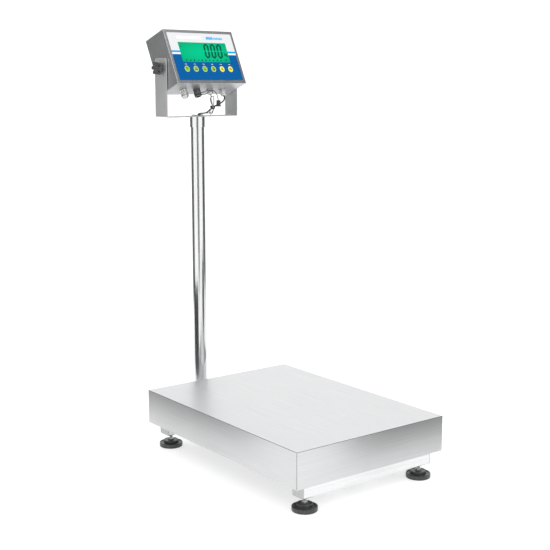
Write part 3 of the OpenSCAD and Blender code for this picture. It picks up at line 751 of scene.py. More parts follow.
class Finish(Enum):
    """The finishes, by the maker's plain names."""

    PAN = "ground pan steel"
    CASE = "satin case steel"
    BRACKET = "satin bracket steel"
    TUBE = "polished tube steel"
    BEAM = "bright beam steel"
    CAPS = "soft end cap steel"
    INNER = "grey inner steel"
    ZINC = "zinc plating"
    NICKEL = "nickel plating"
    ALLOY = "machined cell alloy"
    RUBBER = "black foot rubber"
    GUNMETAL = "dark plated connector"
    PLASTIC = "black moulded plastic"
    KNOB = "dark grey knob plastic"
    FILM = "printed face film"
    DISPLAY = "backlit display"
    SEGMENT = "display segments"
    LABEL = "white label ink"
    CYAN = "cyan ink"
    BOARD = "board lacquer"
    GREEN = "green key"
    YELLOW = "yellow key"
    RIM = "pale key rim"
    ICON = "dark key ink"
    SHEATH_DARK = "dark cable sheath"
    SHEATH_GREY = "grey cable sheath"


class Palette:
    """Builds each finish once, when it is first asked for."""

    def __init__(self, places: Places) -> None:
        """Sets up the recipes.

        Args:
            places: Local frames of the head and the case.
        """
        low, high = local_box("overlay", places.case)
        window_low, window_high = local_box("display_window", places.case)
        stripe = (window_low.z + window_high.z) / 2
        white, cyan, blue = (0.70, 0.705, 0.715), (0.0, 0.33, 0.72), (0.0, 0.093, 0.30)
        bands = ((blue, low.z), ((0.78, 0.80, 0.83), stripe - 7.3 * MM),
                 (cyan, stripe - 1.8 * MM), (white, stripe + 3.8 * MM))
        centre = (window_low + window_high) / 2
        half = (window_high - window_low) / 2
        case, head = places.case, places.head
        grippy = {"depth": 0.0001, "sheen": 0.6}
        ink = {"grain": 2000.0, "depth": 0.00002}
        lacquer = {"grain": 1600.0, "depth": 0.00003}
        sheath = {"grain": 1200.0, "depth": 0.00005}
        self.recipes = {
            Finish.PAN: Brushed(
                (0.685, 0.69, 0.695), (0.62, 0.625, 0.63), (0.30, 0.42), (900, 5, 900),
                ends=(5, 900, 900), seams_and_fold_shade=tuple(Vector(corner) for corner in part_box("pan"))),
            Finish.CASE: Brushed(
                (0.56, 0.565, 0.575), (0.45, 0.455, 0.465), (0.34, 0.46), (5, 900, 900), case),
            Finish.BRACKET: Brushed(
                (0.86, 0.865, 0.87), (0.74, 0.745, 0.75), (0.38, 0.50), (900, 900, 5), head),
            Finish.TUBE: Brushed(
                (0.80, 0.805, 0.81), (0.70, 0.705, 0.71), (0.13, 0.20), (1200, 1200, 3)),
            Finish.BEAM: Brushed(
                (0.86, 0.865, 0.87), (0.76, 0.765, 0.77), (0.24, 0.36), (5, 800, 800)),
            Finish.CAPS: Brushed(
                (0.54, 0.545, 0.55), (0.46, 0.465, 0.47), (0.34, 0.46), (800, 800, 5)),
            Finish.INNER: Brushed(
                (0.52, 0.525, 0.53), (0.42, 0.425, 0.43), (0.36, 0.5), (500, 8, 500)),
            Finish.ZINC: Plated((0.72, 0.73, 0.74), (0.52, 0.53, 0.55), (0.2, 0.42)),
            Finish.NICKEL: Plated((0.78, 0.775, 0.76), (0.62, 0.615, 0.60)),
            Finish.ALLOY: Plated((0.82, 0.83, 0.85), (0.70, 0.71, 0.73), (0.3, 0.45)),
            Finish.GUNMETAL: Plated((0.20, 0.20, 0.205), (0.11, 0.11, 0.115), (0.2, 0.38)),
            Finish.RUBBER: Moulded(
                (0.03, 0.0305, 0.032), (0.06, 0.061, 0.063), (0.24, 0.42), 700.0, **grippy),
            Finish.KNOB: Moulded(
                (0.05, 0.051, 0.053), (0.085, 0.086, 0.09), (0.26, 0.42), 800.0, **grippy),
            Finish.PLASTIC: Moulded((0.03, 0.03, 0.032), (0.055, 0.055, 0.058)),
            Finish.BOARD: Moulded((0.01, 0.12, 0.05), (0.02, 0.18, 0.08)),
            Finish.FILM: Printed(case, bands, low.z, high.z),
            Finish.DISPLAY: Glow(
                case, (0.0, 0.40, 0.185), (0.0, 0.26, 0.115), centre, (half.x, half.z)),
            Finish.SEGMENT: Moulded(
                (0.0, 0.085, 0.045), (0.0, 0.10, 0.055), (0.5, 0.6), sheen=0.05, **ink),
            Finish.LABEL: Moulded((0.93, 0.93, 0.94), (0.88, 0.88, 0.9), (0.35, 0.5), **ink),
            Finish.CYAN: Moulded(
                (0.0, 0.36, 0.76), (0.03, 0.42, 0.76), (0.45, 0.55), sheen=0.05, **ink),
            Finish.ICON: Moulded((0.035, 0.05, 0.02), (0.07, 0.09, 0.04), (0.4, 0.5), **ink),
            Finish.GREEN: Moulded(
                (0.24, 0.50, 0.03), (0.29, 0.56, 0.06), (0.3, 0.45), sheen=0.2, **lacquer),
            Finish.YELLOW: Moulded(
                (0.82, 0.74, 0.0), (0.86, 0.79, 0.03), (0.3, 0.45), sheen=0.2, **lacquer),
            Finish.RIM: Moulded((0.72, 0.82, 0.66), (0.62, 0.74, 0.58), (0.25, 0.4), **lacquer),
            Finish.SHEATH_DARK: Moulded(
                (0.04, 0.041, 0.043), (0.07, 0.071, 0.074), (0.42, 0.58), **sheath),
            Finish.SHEATH_GREY: Moulded(
                (0.13, 0.132, 0.136), (0.21, 0.212, 0.217), (0.35, 0.5), **sheath),
        }
        self.made: dict[Finish, bpy.types.Material] = {}

    def __getitem__(self, finish: Finish) -> bpy.types.Material:
        """The material of a finish."""
        if finish not in self.made:
            self.made[finish] = self.recipes[finish].build(finish.value)
        return self.made[finish]

    def dress(self, finish: Finish, *nodes: str) -> None:
        """Gives CAD nodes a finish through their material slots."""
        for name in nodes:
            for slot in frame["nodes"][name].material_slots:
                slot.material = self[finish]
            log.info("node %s is %s", name, finish.value)


# ------------------------------------------------------------------ studio


@dataclass(frozen=True)
class Flag:
    """A dark card that stands round the object.

    Attributes:
        bearing: Its bearing from the camera's side, in degrees.
        reach: Its distance.
        width: Its width.
        low: Height of its lower edge.
        high: Height of its upper edge.
        grey: Its brightness.
        twist: Its turn from facing the middle, in degrees.
    """

    bearing: float
    reach: float
    width: float
    low: float
    high: float
    grey: float
    twist: float = 0.0


@dataclass
class Studio:
    """Camera, floor, lights and the dark cards that polished steel mirrors.

    Attributes:
        eye: Place of the camera.
        tilt: Camera's turn from looking straight down, in degrees.
        heading: Camera's turn about the vertical, in degrees.
        lens: Focal length in millimetres on a 36 mm sensor.
        shift: Shift of the view across and up.
        flags: Dark cards round the object.
        strength: Brightness of the surround.
        floor_glow: Light that the floor gives off, which keeps its shadows pale.
        lamp_at: Place of the square soft light.
        lamp_aim: Point that it faces.
        lamp_size: Length of its side.
        lamp_power: Its power in watts.
    """

    eye: Point = (-1.8465, -2.4676, 1.0587)
    tilt: float = 79.587
    heading: float = -37.255
    lens: float = 72.72
    shift: tuple[float, float] = (-0.0046, 0.0172)
    flags: tuple[Flag, ...] = (
        Flag(-111, 2.2, 2.3, 0.0, 3.2, 0.12), Flag(-5, 2.2, 1.3, 0.0, 3.2, 0.2),
        Flag(106, 2.2, 2.4, 0.0, 3.2, 0.09), Flag(-97.7, 0.73, 0.95, 0.0, 0.35, 0.06, 45),
        Flag(75.9, 0.93, 0.9, 0.0, 0.35, 0.09, -38.7))
    strength: float = 1.22
    floor_glow: float = 0.62
    lamp_at: Point = (-2.6, -2.4, 3.4)
    lamp_aim: Point = (0, 0, 0.3)
    lamp_size: float = 2.2
    lamp_power: float = 25

    def camera(self) -> None:
        """Makes the camera."""
        data = bpy.data.cameras.new("camera")
        data.lens, data.sensor_width = self.lens, 36
        data.shift_x, data.shift_y = self.shift
        eye = bpy.data.objects.new("camera", data)
        bpy.context.collection.objects.link(eye)
        eye.location = self.eye
        eye.rotation_euler = [math.radians(a) for a in (self.tilt, 0, self.heading)]
        bpy.context.scene.camera = eye

    def floor(self) -> None:
        """Lays a pale floor under the feet."""
        clear_selection()
        bpy.ops.mesh.primitive_plane_add(size=60, location=(0, 0, -0.0005))
        floor = bpy.context.object
        floor.name = "floor"
        bpy.ops.object.transform_apply(location=True, rotation=True, scale=True)
        paper = Paper("pale floor")
        dust = paper.noise(paper.place(EVEN), 3.0, 3)
        paper.set(Base_Color=paper.mix(dust, (0.50, 0.50, 0.50), (0.53, 0.53, 0.53)),
                  Roughness=0.9, Specular_IOR_Level=0.1, Emission_Color=(1, 1, 1),
                  Emission_Strength=self.floor_glow)
        floor.data.materials.append(paper.material)
        floor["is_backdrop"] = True

    def lamp(self) -> None:
        """Hangs the square soft light."""
        data = bpy.data.lights.new("key_light", "AREA")
        data.energy, data.size = self.lamp_power, self.lamp_size
        light = bpy.data.objects.new("key_light", data)
        bpy.context.collection.objects.link(light)
        light.location = self.lamp_at
        ray = Vector(self.lamp_aim) - Vector(self.lamp_at)
        light.rotation_euler = ray.to_track_quat("-Z", "Y").to_euler()

    def flag(self, number: int, card: Flag) -> None:
        """Stands a dark card that only polished surfaces see.

        Args:
            number: The card's number.
            card: Its place, size and brightness.
        """
        clear_selection()
        bpy.ops.mesh.primitive_plane_add(size=1)
        plane = bpy.context.object
        plane.name = f"flag_{number}"
        middle = math.radians(self.heading + card.bearing)
        reach = Vector((math.sin(middle), -math.cos(middle), 0)) * card.reach
        plane.scale = (card.width, card.high - card.low, 1)
        plane.rotation_euler = (math.pi / 2, 0, middle + math.radians(card.twist))
        plane.location = reach + Vector((0, 0, (card.low + card.high) / 2))
        bpy.ops.object.transform_apply(location=True, rotation=True, scale=True)
        paper = Paper(f"flag paint {number}")
        paper.set(Base_Color=(card.grey, card.grey, card.grey), Roughness=1.0,
                  Specular_IOR_Level=0.0)
        plane.data.materials.append(paper.material)
        plane.visible_camera = plane.visible_shadow = plane.visible_diffuse = False
        plane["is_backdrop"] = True

    def lights(self) -> None:
        """Sets the white surround, one soft light and the cards."""
        scene = bpy.context.scene
        world = bpy.data.worlds.new("white surround")
        world.use_nodes = True
        back = world.node_tree.nodes["Background"]
        back.inputs[0].default_value = (1, 1, 1, 1)
        back.inputs[1].default_value = self.strength
        scene.world = world
        scene.view_settings.view_transform = "Standard"
        self.lamp()
        for number, card in enumerate(self.flags, 1):
            self.flag(number, card)

    def build(self) -> None:
        """Makes the camera, the floor and the lights."""
        self.camera()
        self.floor()
        self.lights()


# ------------------------------------------------------------------ cords


def curve_through(points: Sequence[Vector], per_span: int = 8) -> list[Vector]:
    """A smooth line through points.

    Args:
        points: The points, in order.
        per_span: Number of steps between two points.

    Returns:
        The line's points.
    """
    ends = [2 * points[0] - points[1], *points, 2 * points[-1] - points[-2]]
    line = []
    for a, b, c, d in zip(ends, ends[1:], ends[2:], ends[3:]):
        for step in range(per_span):
            t = step / per_span
            line.append(0.5 * (2 * b + (c - a) * t + (2 * a - 5 * b + 4 * c - d) * t * t
                               + (3 * b - a - 3 * c + d) * t ** 3))
    return line + [points[-1].copy()]


def evenly(line: Sequence[Vector], step: float) -> list[Vector]:
    """The same line with its points an even distance apart."""
    lengths = [0.0]
    for a, b in zip(line, line[1:]):
        lengths.append(lengths[-1] + (b - a).length)
    count = max(2, round(lengths[-1] / step))
    spots, at = [], 0
    for i in range(count + 1):
        want = lengths[-1] * i / count
        while at < len(line) - 2 and lengths[at + 1] < want:
            at += 1
        share = (want - lengths[at]) / max(1e-12, lengths[at + 1] - lengths[at])
        spots.append(line[at].lerp(line[at + 1], share))
    return spots


def eased(line: Sequence[Vector], rounds: int) -> list[Vector]:
    """The line after its kinks have been eased out, with its ends held."""
    line = list(line)
    for _ in range(rounds):
        inner = [q / 2 + (p + r) / 4 for p, q, r in zip(line, line[1:], line[2:])]
        line = [line[0], *inner, line[-1]]
    return line


def run_length(line: Sequence[Vector]) -> float:
    """Length along a line."""
    return sum((b - a).length for a, b in zip(line, line[1:]))


def tube(name: str, line: Sequence[Vector], radius: float) -> bpy.types.Object:
    """A closed round tube along a line.

    Args:
        name: The piece's name.
        line: The line that it follows.
        radius: Its radius.

    Returns:
        The tube.
    """
    data = bpy.data.curves.new(name, "CURVE")
    data.dimensions, data.bevel_depth = "3D", radius
    data.bevel_resolution, data.use_fill_caps = 4, True
    data.twist_mode = "MINIMUM"
    spline = data.splines.new("POLY")
    spline.points.add(len(line) - 1)
    for spot, place in zip(spline.points, line):
        spot.co = (*place, 1)
    piece = bpy.data.objects.new(name, data)
    bpy.context.collection.objects.link(piece)
    pick(piece)
    bpy.ops.object.convert(target="MESH")
    with editing(piece):
        bpy.ops.mesh.select_all(action="SELECT")
        bpy.ops.mesh.remove_doubles(threshold=1e-6)
        bpy.ops.mesh.normals_make_consistent(inside=False)
    return smooth(piece, 50)


@dataclass
class Cables:
    """The load cable, the supply cable with its hank, and the hank's tie.

    Attributes:
        places: Local frames.
        palette: The finishes.
        load_d: Diameter of the load cell's cable.
        supply_d: Diameter of the supply cable.
        tie_at: Place of the tie in the head's frame, in millimetres.
        hank_turn: Turn of the hank about X and then Y, in degrees.
        column_end: Where the bend between head and case would start, in the head's frame; not used.
        gland_end: Where the bend would end for the tie, at the load cable's gland.
    """

    places: Places
    palette: Palette
    load_d: float = 4.4 * MM
    supply_d: float = 2.6 * MM
    tie_at: Point = (46.5, -18, 26)
    hank_turn: tuple[float, float] = (20, -28)
    column_end: Point = (0.030, -0.008, 0.012)
    gland_end: Point = (0.0769, -0.035, 0.060)

    def load_line(self) -> list[Vector]:
        """Line of the load cable from its gland into the column, in the head's frame."""
        route = from_mm((
            (76.9, -35, 60), (76.6, -37, 54), (74, -37.5, 48), (69.5, -34.5, 42.5), (64, -30, 38),
            (58, -24.5, 34), (52, -19, 29.8), (46.5, -14, 25), (41.5, -10.5, 20), (36.5, -8, 15),
            (31, -6, 11.4), (24, -4, 9.6), (17, -2, 9.2), (11, -0.6, 9.2), (7, 0, 8.6),
            (3.8, 0, 6.8), (1.6, 0, 4), (0.5, 0, 0.5), (0, 0, -4), (0, 0, -12)))
        return eased(evenly(curve_through(route), 1.5 * MM), 6)

    def hank_frame(self) -> Matrix:
        """Frame of the hank inside the head's frame."""
        x, y = (math.radians(a) for a in self.hank_turn)
        turn = Euler((x, y, 0)).to_matrix().to_4x4()
        return Matrix.Translation(Vector(self.tie_at) * MM) @ turn

    def lower_loop(self) -> list[Vector]:
        """Teardrop below the tie, in the hank's frame."""
        out, side = Vector((-0.76, 0, -0.65)), Vector((-0.65, 0, 0.76))
        radius, centre, half, back = 8.2, 13.1, 1.45, Vector((0, -0.9, 0))
        first, last = 5.2, 4
        neck = [half + radius - math.sqrt(radius ** 2 - reach ** 2) for reach in (first, last)]
        turns = [138, 114, 90, 64, 38, 12, -14, -40, -66, -90, -114, -138]
        ring = [back + out * (centre + radius * math.cos(math.radians(a)))
                + side * radius * math.sin(math.radians(a)) for a in turns]
        return [p * MM for p in (back + out * first + side * neck[0], *ring,
                                 back + out * last - side * neck[1])]

    def supply_line(self) -> list[Vector]:
        """Line of the supply cable: gland, hank and column, in the head's frame."""
        down = from_mm(((-0.1, 2, 46.3), (-1.2, 0.9, 44.2), (-2.2, 0.6, 40.5), (-2.8, 0.4, 36),
                        (-2.9, 0, 26), (-2.2, -0.9, 16), (-1.6, -0.9, 9), (-1.5, -0.9, 4.8),
                        (-3.4, -0.9, 1.2)))
        up = from_mm(((1, -0.9, 0.8), (2.2, -1.2, 6), (3.9, -1.8, 14), (5.1, -2.2, 22),
                      (6, -2.4, 30)))
        radius, middle = 8.2, (-2, -2.6, 34.5)
        fold = from_mm([(middle[0] + radius * math.cos(math.radians(a)), middle[1],
                         middle[2] + radius * math.sin(math.radians(a)))
                        for a in range(0, 181, 30)])
        away = from_mm(((-9.7, -2.7, 29), (-7.4, -3, 20), (-4.6, -3.4, 11), (-2.3, -3.6, 5),
                        (-1.2, -3.7, 0), (-3, -3.9, -5.2)))
        turn = self.hank_frame()
        hank = [turn @ p for p in (*down, *self.lower_loop(), *up, *fold, *away)]
        route = from_mm(((43, -19.6, 15), (38.5, -20.2, 12.4), (33, -19, 10.8), (27, -15.6, 10),
                         (20.5, -12.6, 9.7), (14, -9.2, 9.4), (8.8, -6.6, 8.6), (5, -5, 6.6),
                         (2.6, -4.5, 3.4), (1.2, -4.4, -1), (1, -4.4, -12)))
        return eased(evenly(curve_through([*hank, *route]), 1.0 * MM), 18)

    def hang(self, piece: bpy.types.Object, finish: Finish, nodes: Sequence[str],
             end: Vector) -> None:
        """Dresses a piece that runs between the head and the case.

        Args:
            piece: The piece, in its place.
            finish: Its finish.
            nodes: CAD nodes that it stands for.
            end: Where the bend would end on the case; not used.
        """
        piece.data.materials.append(self.palette[finish])
        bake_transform(piece)
        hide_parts(*nodes)

    def cable(self, name: str, line: list[Vector], radius: float, finish: Finish,
              nodes: Sequence[str]) -> bpy.types.Object:
        """Makes one cable that runs between the head and the case.

        Args:
            name: The piece's name.
            line: Its line in the head's frame.
            radius: Its radius.
            finish: Its finish.
            nodes: CAD nodes that it stands for.

        Returns:
            The cable.
        """
        line = [self.places.head @ p for p in line]
        piece = tube(name, line, radius)
        self.hang(piece, finish, nodes, line[0])
        line[0]
        run_length(line)
        2 * radius
        log.info("cord %s is %.0f mm long", name, run_length(line) * 1000)
        return piece

    def tie(self) -> None:
        """Makes the strap that holds the hank, with its head and its cut tail."""
        outline = ((5.4, -2), (6.35, -2), (6.6, -1.7), (6.6, 1.7), (6.35, 2), (5.4, 2), (5.4, -2))
        strap = turned("hank_tie", [(r * MM, z * MM) for r, z in outline], 40)
        lock = block("tie_head", (-2.6 * MM, 5.8 * MM, -2.4 * MM), (2.6 * MM, 10 * MM, 2.4 * MM))
        soften(lock, 0.6 * MM, 3)
        tail = block("tie_tail", (-1 * MM, 9.2 * MM, -1.6 * MM), (4.6 * MM, 9.9 * MM, 1.6 * MM))
        soften(tail, 0.25 * MM, 2)
        piece = smooth(join("hank_tie", [strap, lock, tail]))
        settle(piece, self.places.head @ self.hank_frame())
        self.hang(piece, Finish.PLASTIC, ["cable_tie"],
                  self.places.head @ Vector(self.gland_end))

    def build(self) -> None:
        """Makes both cables and the tie."""
        self.cable("load_lead", self.load_line(), self.load_d / 2, Finish.SHEATH_DARK,
                   ["load_cable"])
        self.cable("supply_lead", self.supply_line(), self.supply_d / 2, Finish.SHEATH_GREY,
                   ["supply_cable", "supply_hank"])
        self.tie()


# ------------------------------------------------------------------ platform and base


@dataclass
class Platform:
    """The weighing pan, folded from one sheet with closed corners.

    Attributes:
        palette: The finishes.
        sheet: Thickness of the sheet.
        fold: Radius outside a fold.
    """

    palette: Palette
    sheet: float = 1.5 * MM
    fold: float = 1.0 * MM

    def build(self) -> None:
        """Makes the pan."""
        low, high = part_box("pan")
        pan = folded("weighing_pan", low, high, lambda c, n: n.z < -0.9,
                     lambda a, b: max(a.z, b.z) > high[2] - MM, self.fold, self.sheet)
        smooth(pan, 35)
        hand_over(pan, "platform", self.palette[Finish.PAN], ["pan"])


@dataclass
class Feet:
    """Four screwed feet: a rubber pad, and a threaded stud with a hexagon.

    Attributes:
        palette: The finishes.
        corners: Names of the four corners.
        pitch: Pitch of the stud's thread.
        stud_r: Radius over the thread.
        thread_depth: Depth of the thread.
        hex_r: Radius over the hexagon's corners.
        hex_ends: Heights of the hexagon's two faces.
        thread_low: Height at which the thread starts.
        pad_steps: Number of faces round a pad.
    """

    palette: Palette
    corners: tuple[str, ...] = ("fl", "fr", "rl", "rr")
    pitch: float = 1.5 * MM
    stud_r: float = 5.0 * MM
    thread_depth: float = 0.8 * MM
    hex_r: float = 8.05 * MM
    hex_ends: tuple[float, float] = (19.3 * MM, 25.3 * MM)
    thread_low: float = 26 * MM
    pad_steps: int = 72

    def pad(self) -> bpy.types.Object:
        """Makes a pad on the Z axis, with a blind hole for its stud."""
        socket = ((0, 5), (5.3, 5), (5.3, 18.4), (6.4, 18.9), (9.6, 19), (10.4, 18.2))
        hub = ((17.6, 18.2), (18.4, 19), (20.4, 19), (21.2, 18.4), (21.5, 17.4), (21.2, 13),
               (21.6, 11.4), (22.6, 10.6), (24.2, 10))
        rim = ((28.4, 10), (29.4, 11.2), (30.6, 12), (32.2, 12), (33.1, 11.6), (33.5, 10.6),
               (33.5, 2.2), (33.1, 0.7), (32.2, 0), (29, 0))
        sole = ((28, 1.2), (12, 1.2), (11, 0), (0, 0))
        outline = (*socket, *hub, *rim, *sole)
        pad = turned("pad", [(r * MM, z * MM) for r, z in outline], self.pad_steps)
        ribbed(pad, 13.1 * MM, 17.3 * MM, self.pad_steps, 3, 0.7 * MM, 0.35 * MM, 20 * MM)
        return smooth(pad, 28)

    def stud(self, low: float, high: float) -> bpy.types.Object:
        """Makes a threaded stud on the Z axis, with its hexagon.

        Args:
            low: Height of its foot.
            high: Height of its top.

        Returns:
            The stud.
        """
        root = self.stud_r - self.thread_depth
        rings = [(0, low), (self.stud_r, low), (self.stud_r, self.thread_low)]
        for turn in range(int((high - 1.5 * MM - self.thread_low) / self.pitch)):
            z = self.thread_low + (turn + 0.5) * self.pitch
            rings += [(root, z), (self.stud_r, z + self.pitch / 2)]
        rings += [(root, high - 0.2 * MM), (root - 0.4 * MM, high), (0, high)]
        rod = smooth(turned("rod", rings, 32), 25)
        hexagon = prism("hexagon", self.hex_r, *self.hex_ends, 6, 0.4 * MM)
        return join("stud", [rod, hexagon])

    def build(self) -> None:
        """Makes the four feet."""
        first_low, first_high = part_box("foot_stud_fl")
        pad, stud = self.pad(), self.stud(first_low[2], first_high[2])
        for corner in self.corners:
            low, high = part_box(f"foot_pad_{corner}")
            place = Matrix.Translation(((low[0] + high[0]) / 2, (low[1] + high[1]) / 2, 0))
            hand_over(copied(pad, f"pad_{corner}", place), f"foot_{corner}",
                      self.palette[Finish.RUBBER], [f"foot_pad_{corner}"])
            hand_over(copied(stud, f"stud_{corner}", place), f"stud_{corner}",
                      self.palette[Finish.ZINC], [f"foot_stud_{corner}"])
        discard(pad, stud)


@dataclass
class Base:
    """The base's frame, the load cell and what lies between it and the pan."""

    palette: Palette

    def build(self) -> None:
        """Dresses the base and the weighbridge."""
        dress = self.palette.dress
        dress(Finish.BEAM, "base_cross_beams", "base_side_rails")
        dress(Finish.CAPS, "beam_end_caps", "column_arm")
        dress(Finish.INNER, "base_plate", "spider_side_rails", "spider_cross_rails", "spider_plate")
        dress(Finish.ALLOY, "load_cell", "lower_spacer", "upper_spacer")
        dress(Finish.ZINC, "cell_bolts_lower", "cell_bolts_upper", "overload_stops", "lock_nuts",
              "column_bolts")
        dress(Finish.RUBBER, "pan_buffers")


# ------------------------------------------------------------------ column and bracket


@dataclass
class Column:
    """The polished tube, its cap with the grommet, and the cable inside.

    Attributes:
        palette: The finishes.
        wall: Thickness of the tube's wall.
    """

    palette: Palette
    wall: float = 1.5 * MM

    def build(self) -> None:
        """Makes the tube and dresses the rest."""
        low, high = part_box("column_tube")
        radius = (high[0] - low[0]) / 2
        bore = radius - self.wall
        shape = [(bore, low[2]), (radius, low[2]), (radius, high[2]), (bore, high[2]),
                 (bore, low[2])]
        tube_piece = smooth(turned("column_pipe", shape, 128), 40)
        settle(tube_piece, Matrix.Translation(((low[0] + high[0]) / 2, (low[1] + high[1]) / 2, 0)))
        hand_over(tube_piece, "base", self.palette[Finish.TUBE], ["column_tube"])
        self.palette.dress(Finish.TUBE, "column_cap")
        self.palette.dress(Finish.SHEATH_DARK, "column_cable")
        self.palette.dress(Finish.RUBBER, "cable_grommet")
        self.palette.dress(Finish.ZINC, "cap_screws")


@dataclass
class Bracket:
    """The bracket, bent from a strip into a U that holds the case.

    Attributes:
        places: Local frames.
        palette: The finishes.
        sheet: Thickness of the strip.
        corner: Radius of the arms' top corners.
        bend: Radius outside a bend.
        inner_bend: Radius inside a bend.
        hole: Radius of the hole for the cables.
    """

    places: Places
    palette: Palette
    sheet: float = 3 * MM
    corner: float = 9 * MM
    bend: float = 4 * MM
    inner_bend: float = 1.2 * MM
    hole: float = 10 * MM

    def build(self) -> None:
        """Makes the bracket."""
        low, high = local_box("yoke", self.places.head)
        strip = block("bracket", low, high)
        inner_low = Vector((low.x + self.sheet, low.y - self.sheet, self.sheet))
        inner_high = Vector((high.x - self.sheet, high.y + self.sheet, high.z + self.sheet))
        carve(strip, block("gap", inner_low, inner_high))
        bevel(strip, lambda a, b: min(a.z, b.z) > high.z - MM and abs(a.y - b.y) < MM
              and abs(a.x - b.x) < 2 * self.sheet, self.corner, 8)
        bevel(strip, lambda a, b: max(a.z, b.z) < MM and abs(a.x - b.x) < MM, self.bend, 5)
        bevel(strip, lambda a, b: abs(a.x - b.x) < MM and abs(a.z - b.z) < MM
              and abs(a.z - self.sheet) < 0.1 * MM and abs(a.x) > high.x - 2 * self.sheet,
              self.inner_bend, 3)
        carve(strip, cylinder("hole", self.hole, 4 * self.sheet))
        soften(strip, 0.35 * MM, 2, 40)
        smooth(strip, 40)
        settle(strip, self.places.head)
        hand_over(strip, "head", self.palette[Finish.BRACKET], ["yoke"])


# ------------------------------------------------------------------ indicator


@dataclass
class Case:
    """The indicator's folded case, its back and what is inside.

    Attributes:
        places: Local frames.
        palette: The finishes.
        sheet: Thickness of the sheet.
        fold: Radius outside a fold.
        key_gap: Gap round a key.
    """

    places: Places
    palette: Palette
    sheet: float = 1.5 * MM
    fold: float = 1.3 * MM
    key_gap: float = 0.5 * MM

    def build(self) -> None:
        """Makes the shell and dresses the rest."""
        low, high = local_box("case_shell", self.places.case)
        shell = folded("case_skin", low, high, lambda c, n: n.y > 0.9,
                       lambda a, b: min(a.y, b.y) < low.y + MM, self.fold, self.sheet)
        tools = []
        for number in range(1, 7):
            key_low, key_high = local_box(f"key_{number}", self.places.case)
            middle = (key_low + key_high) / 2
            tools.append(cylinder(
                "key_tool", (key_high.x - key_low.x) / 2 + self.key_gap, 4 * MM,
                (middle.x, low.y + MM, middle.z), 40, (math.pi / 2, 0, 0)))
        window_low, window_high = local_box("display_window", self.places.case)
        tools.append(block("window_tool", (window_low.x, low.y - MM, window_low.z),
                           (window_high.x, low.y + 3 * MM, window_high.z)))
        carve(shell, join("front_openings", tools))
        smooth(shell, 35)
        settle(shell, self.places.case)
        hand_over(shell, "indicator", self.palette[Finish.CASE], ["case_shell"])
        dress = self.palette.dress
        dress(Finish.CASE, "case_back")
        dress(Finish.RUBBER, "back_gasket")
        dress(Finish.PLASTIC, "tilt_washers", "display_module")
        dress(Finish.ZINC, "back_screws", "board_pillars")
        dress(Finish.BOARD, "keypad_board", "main_board")


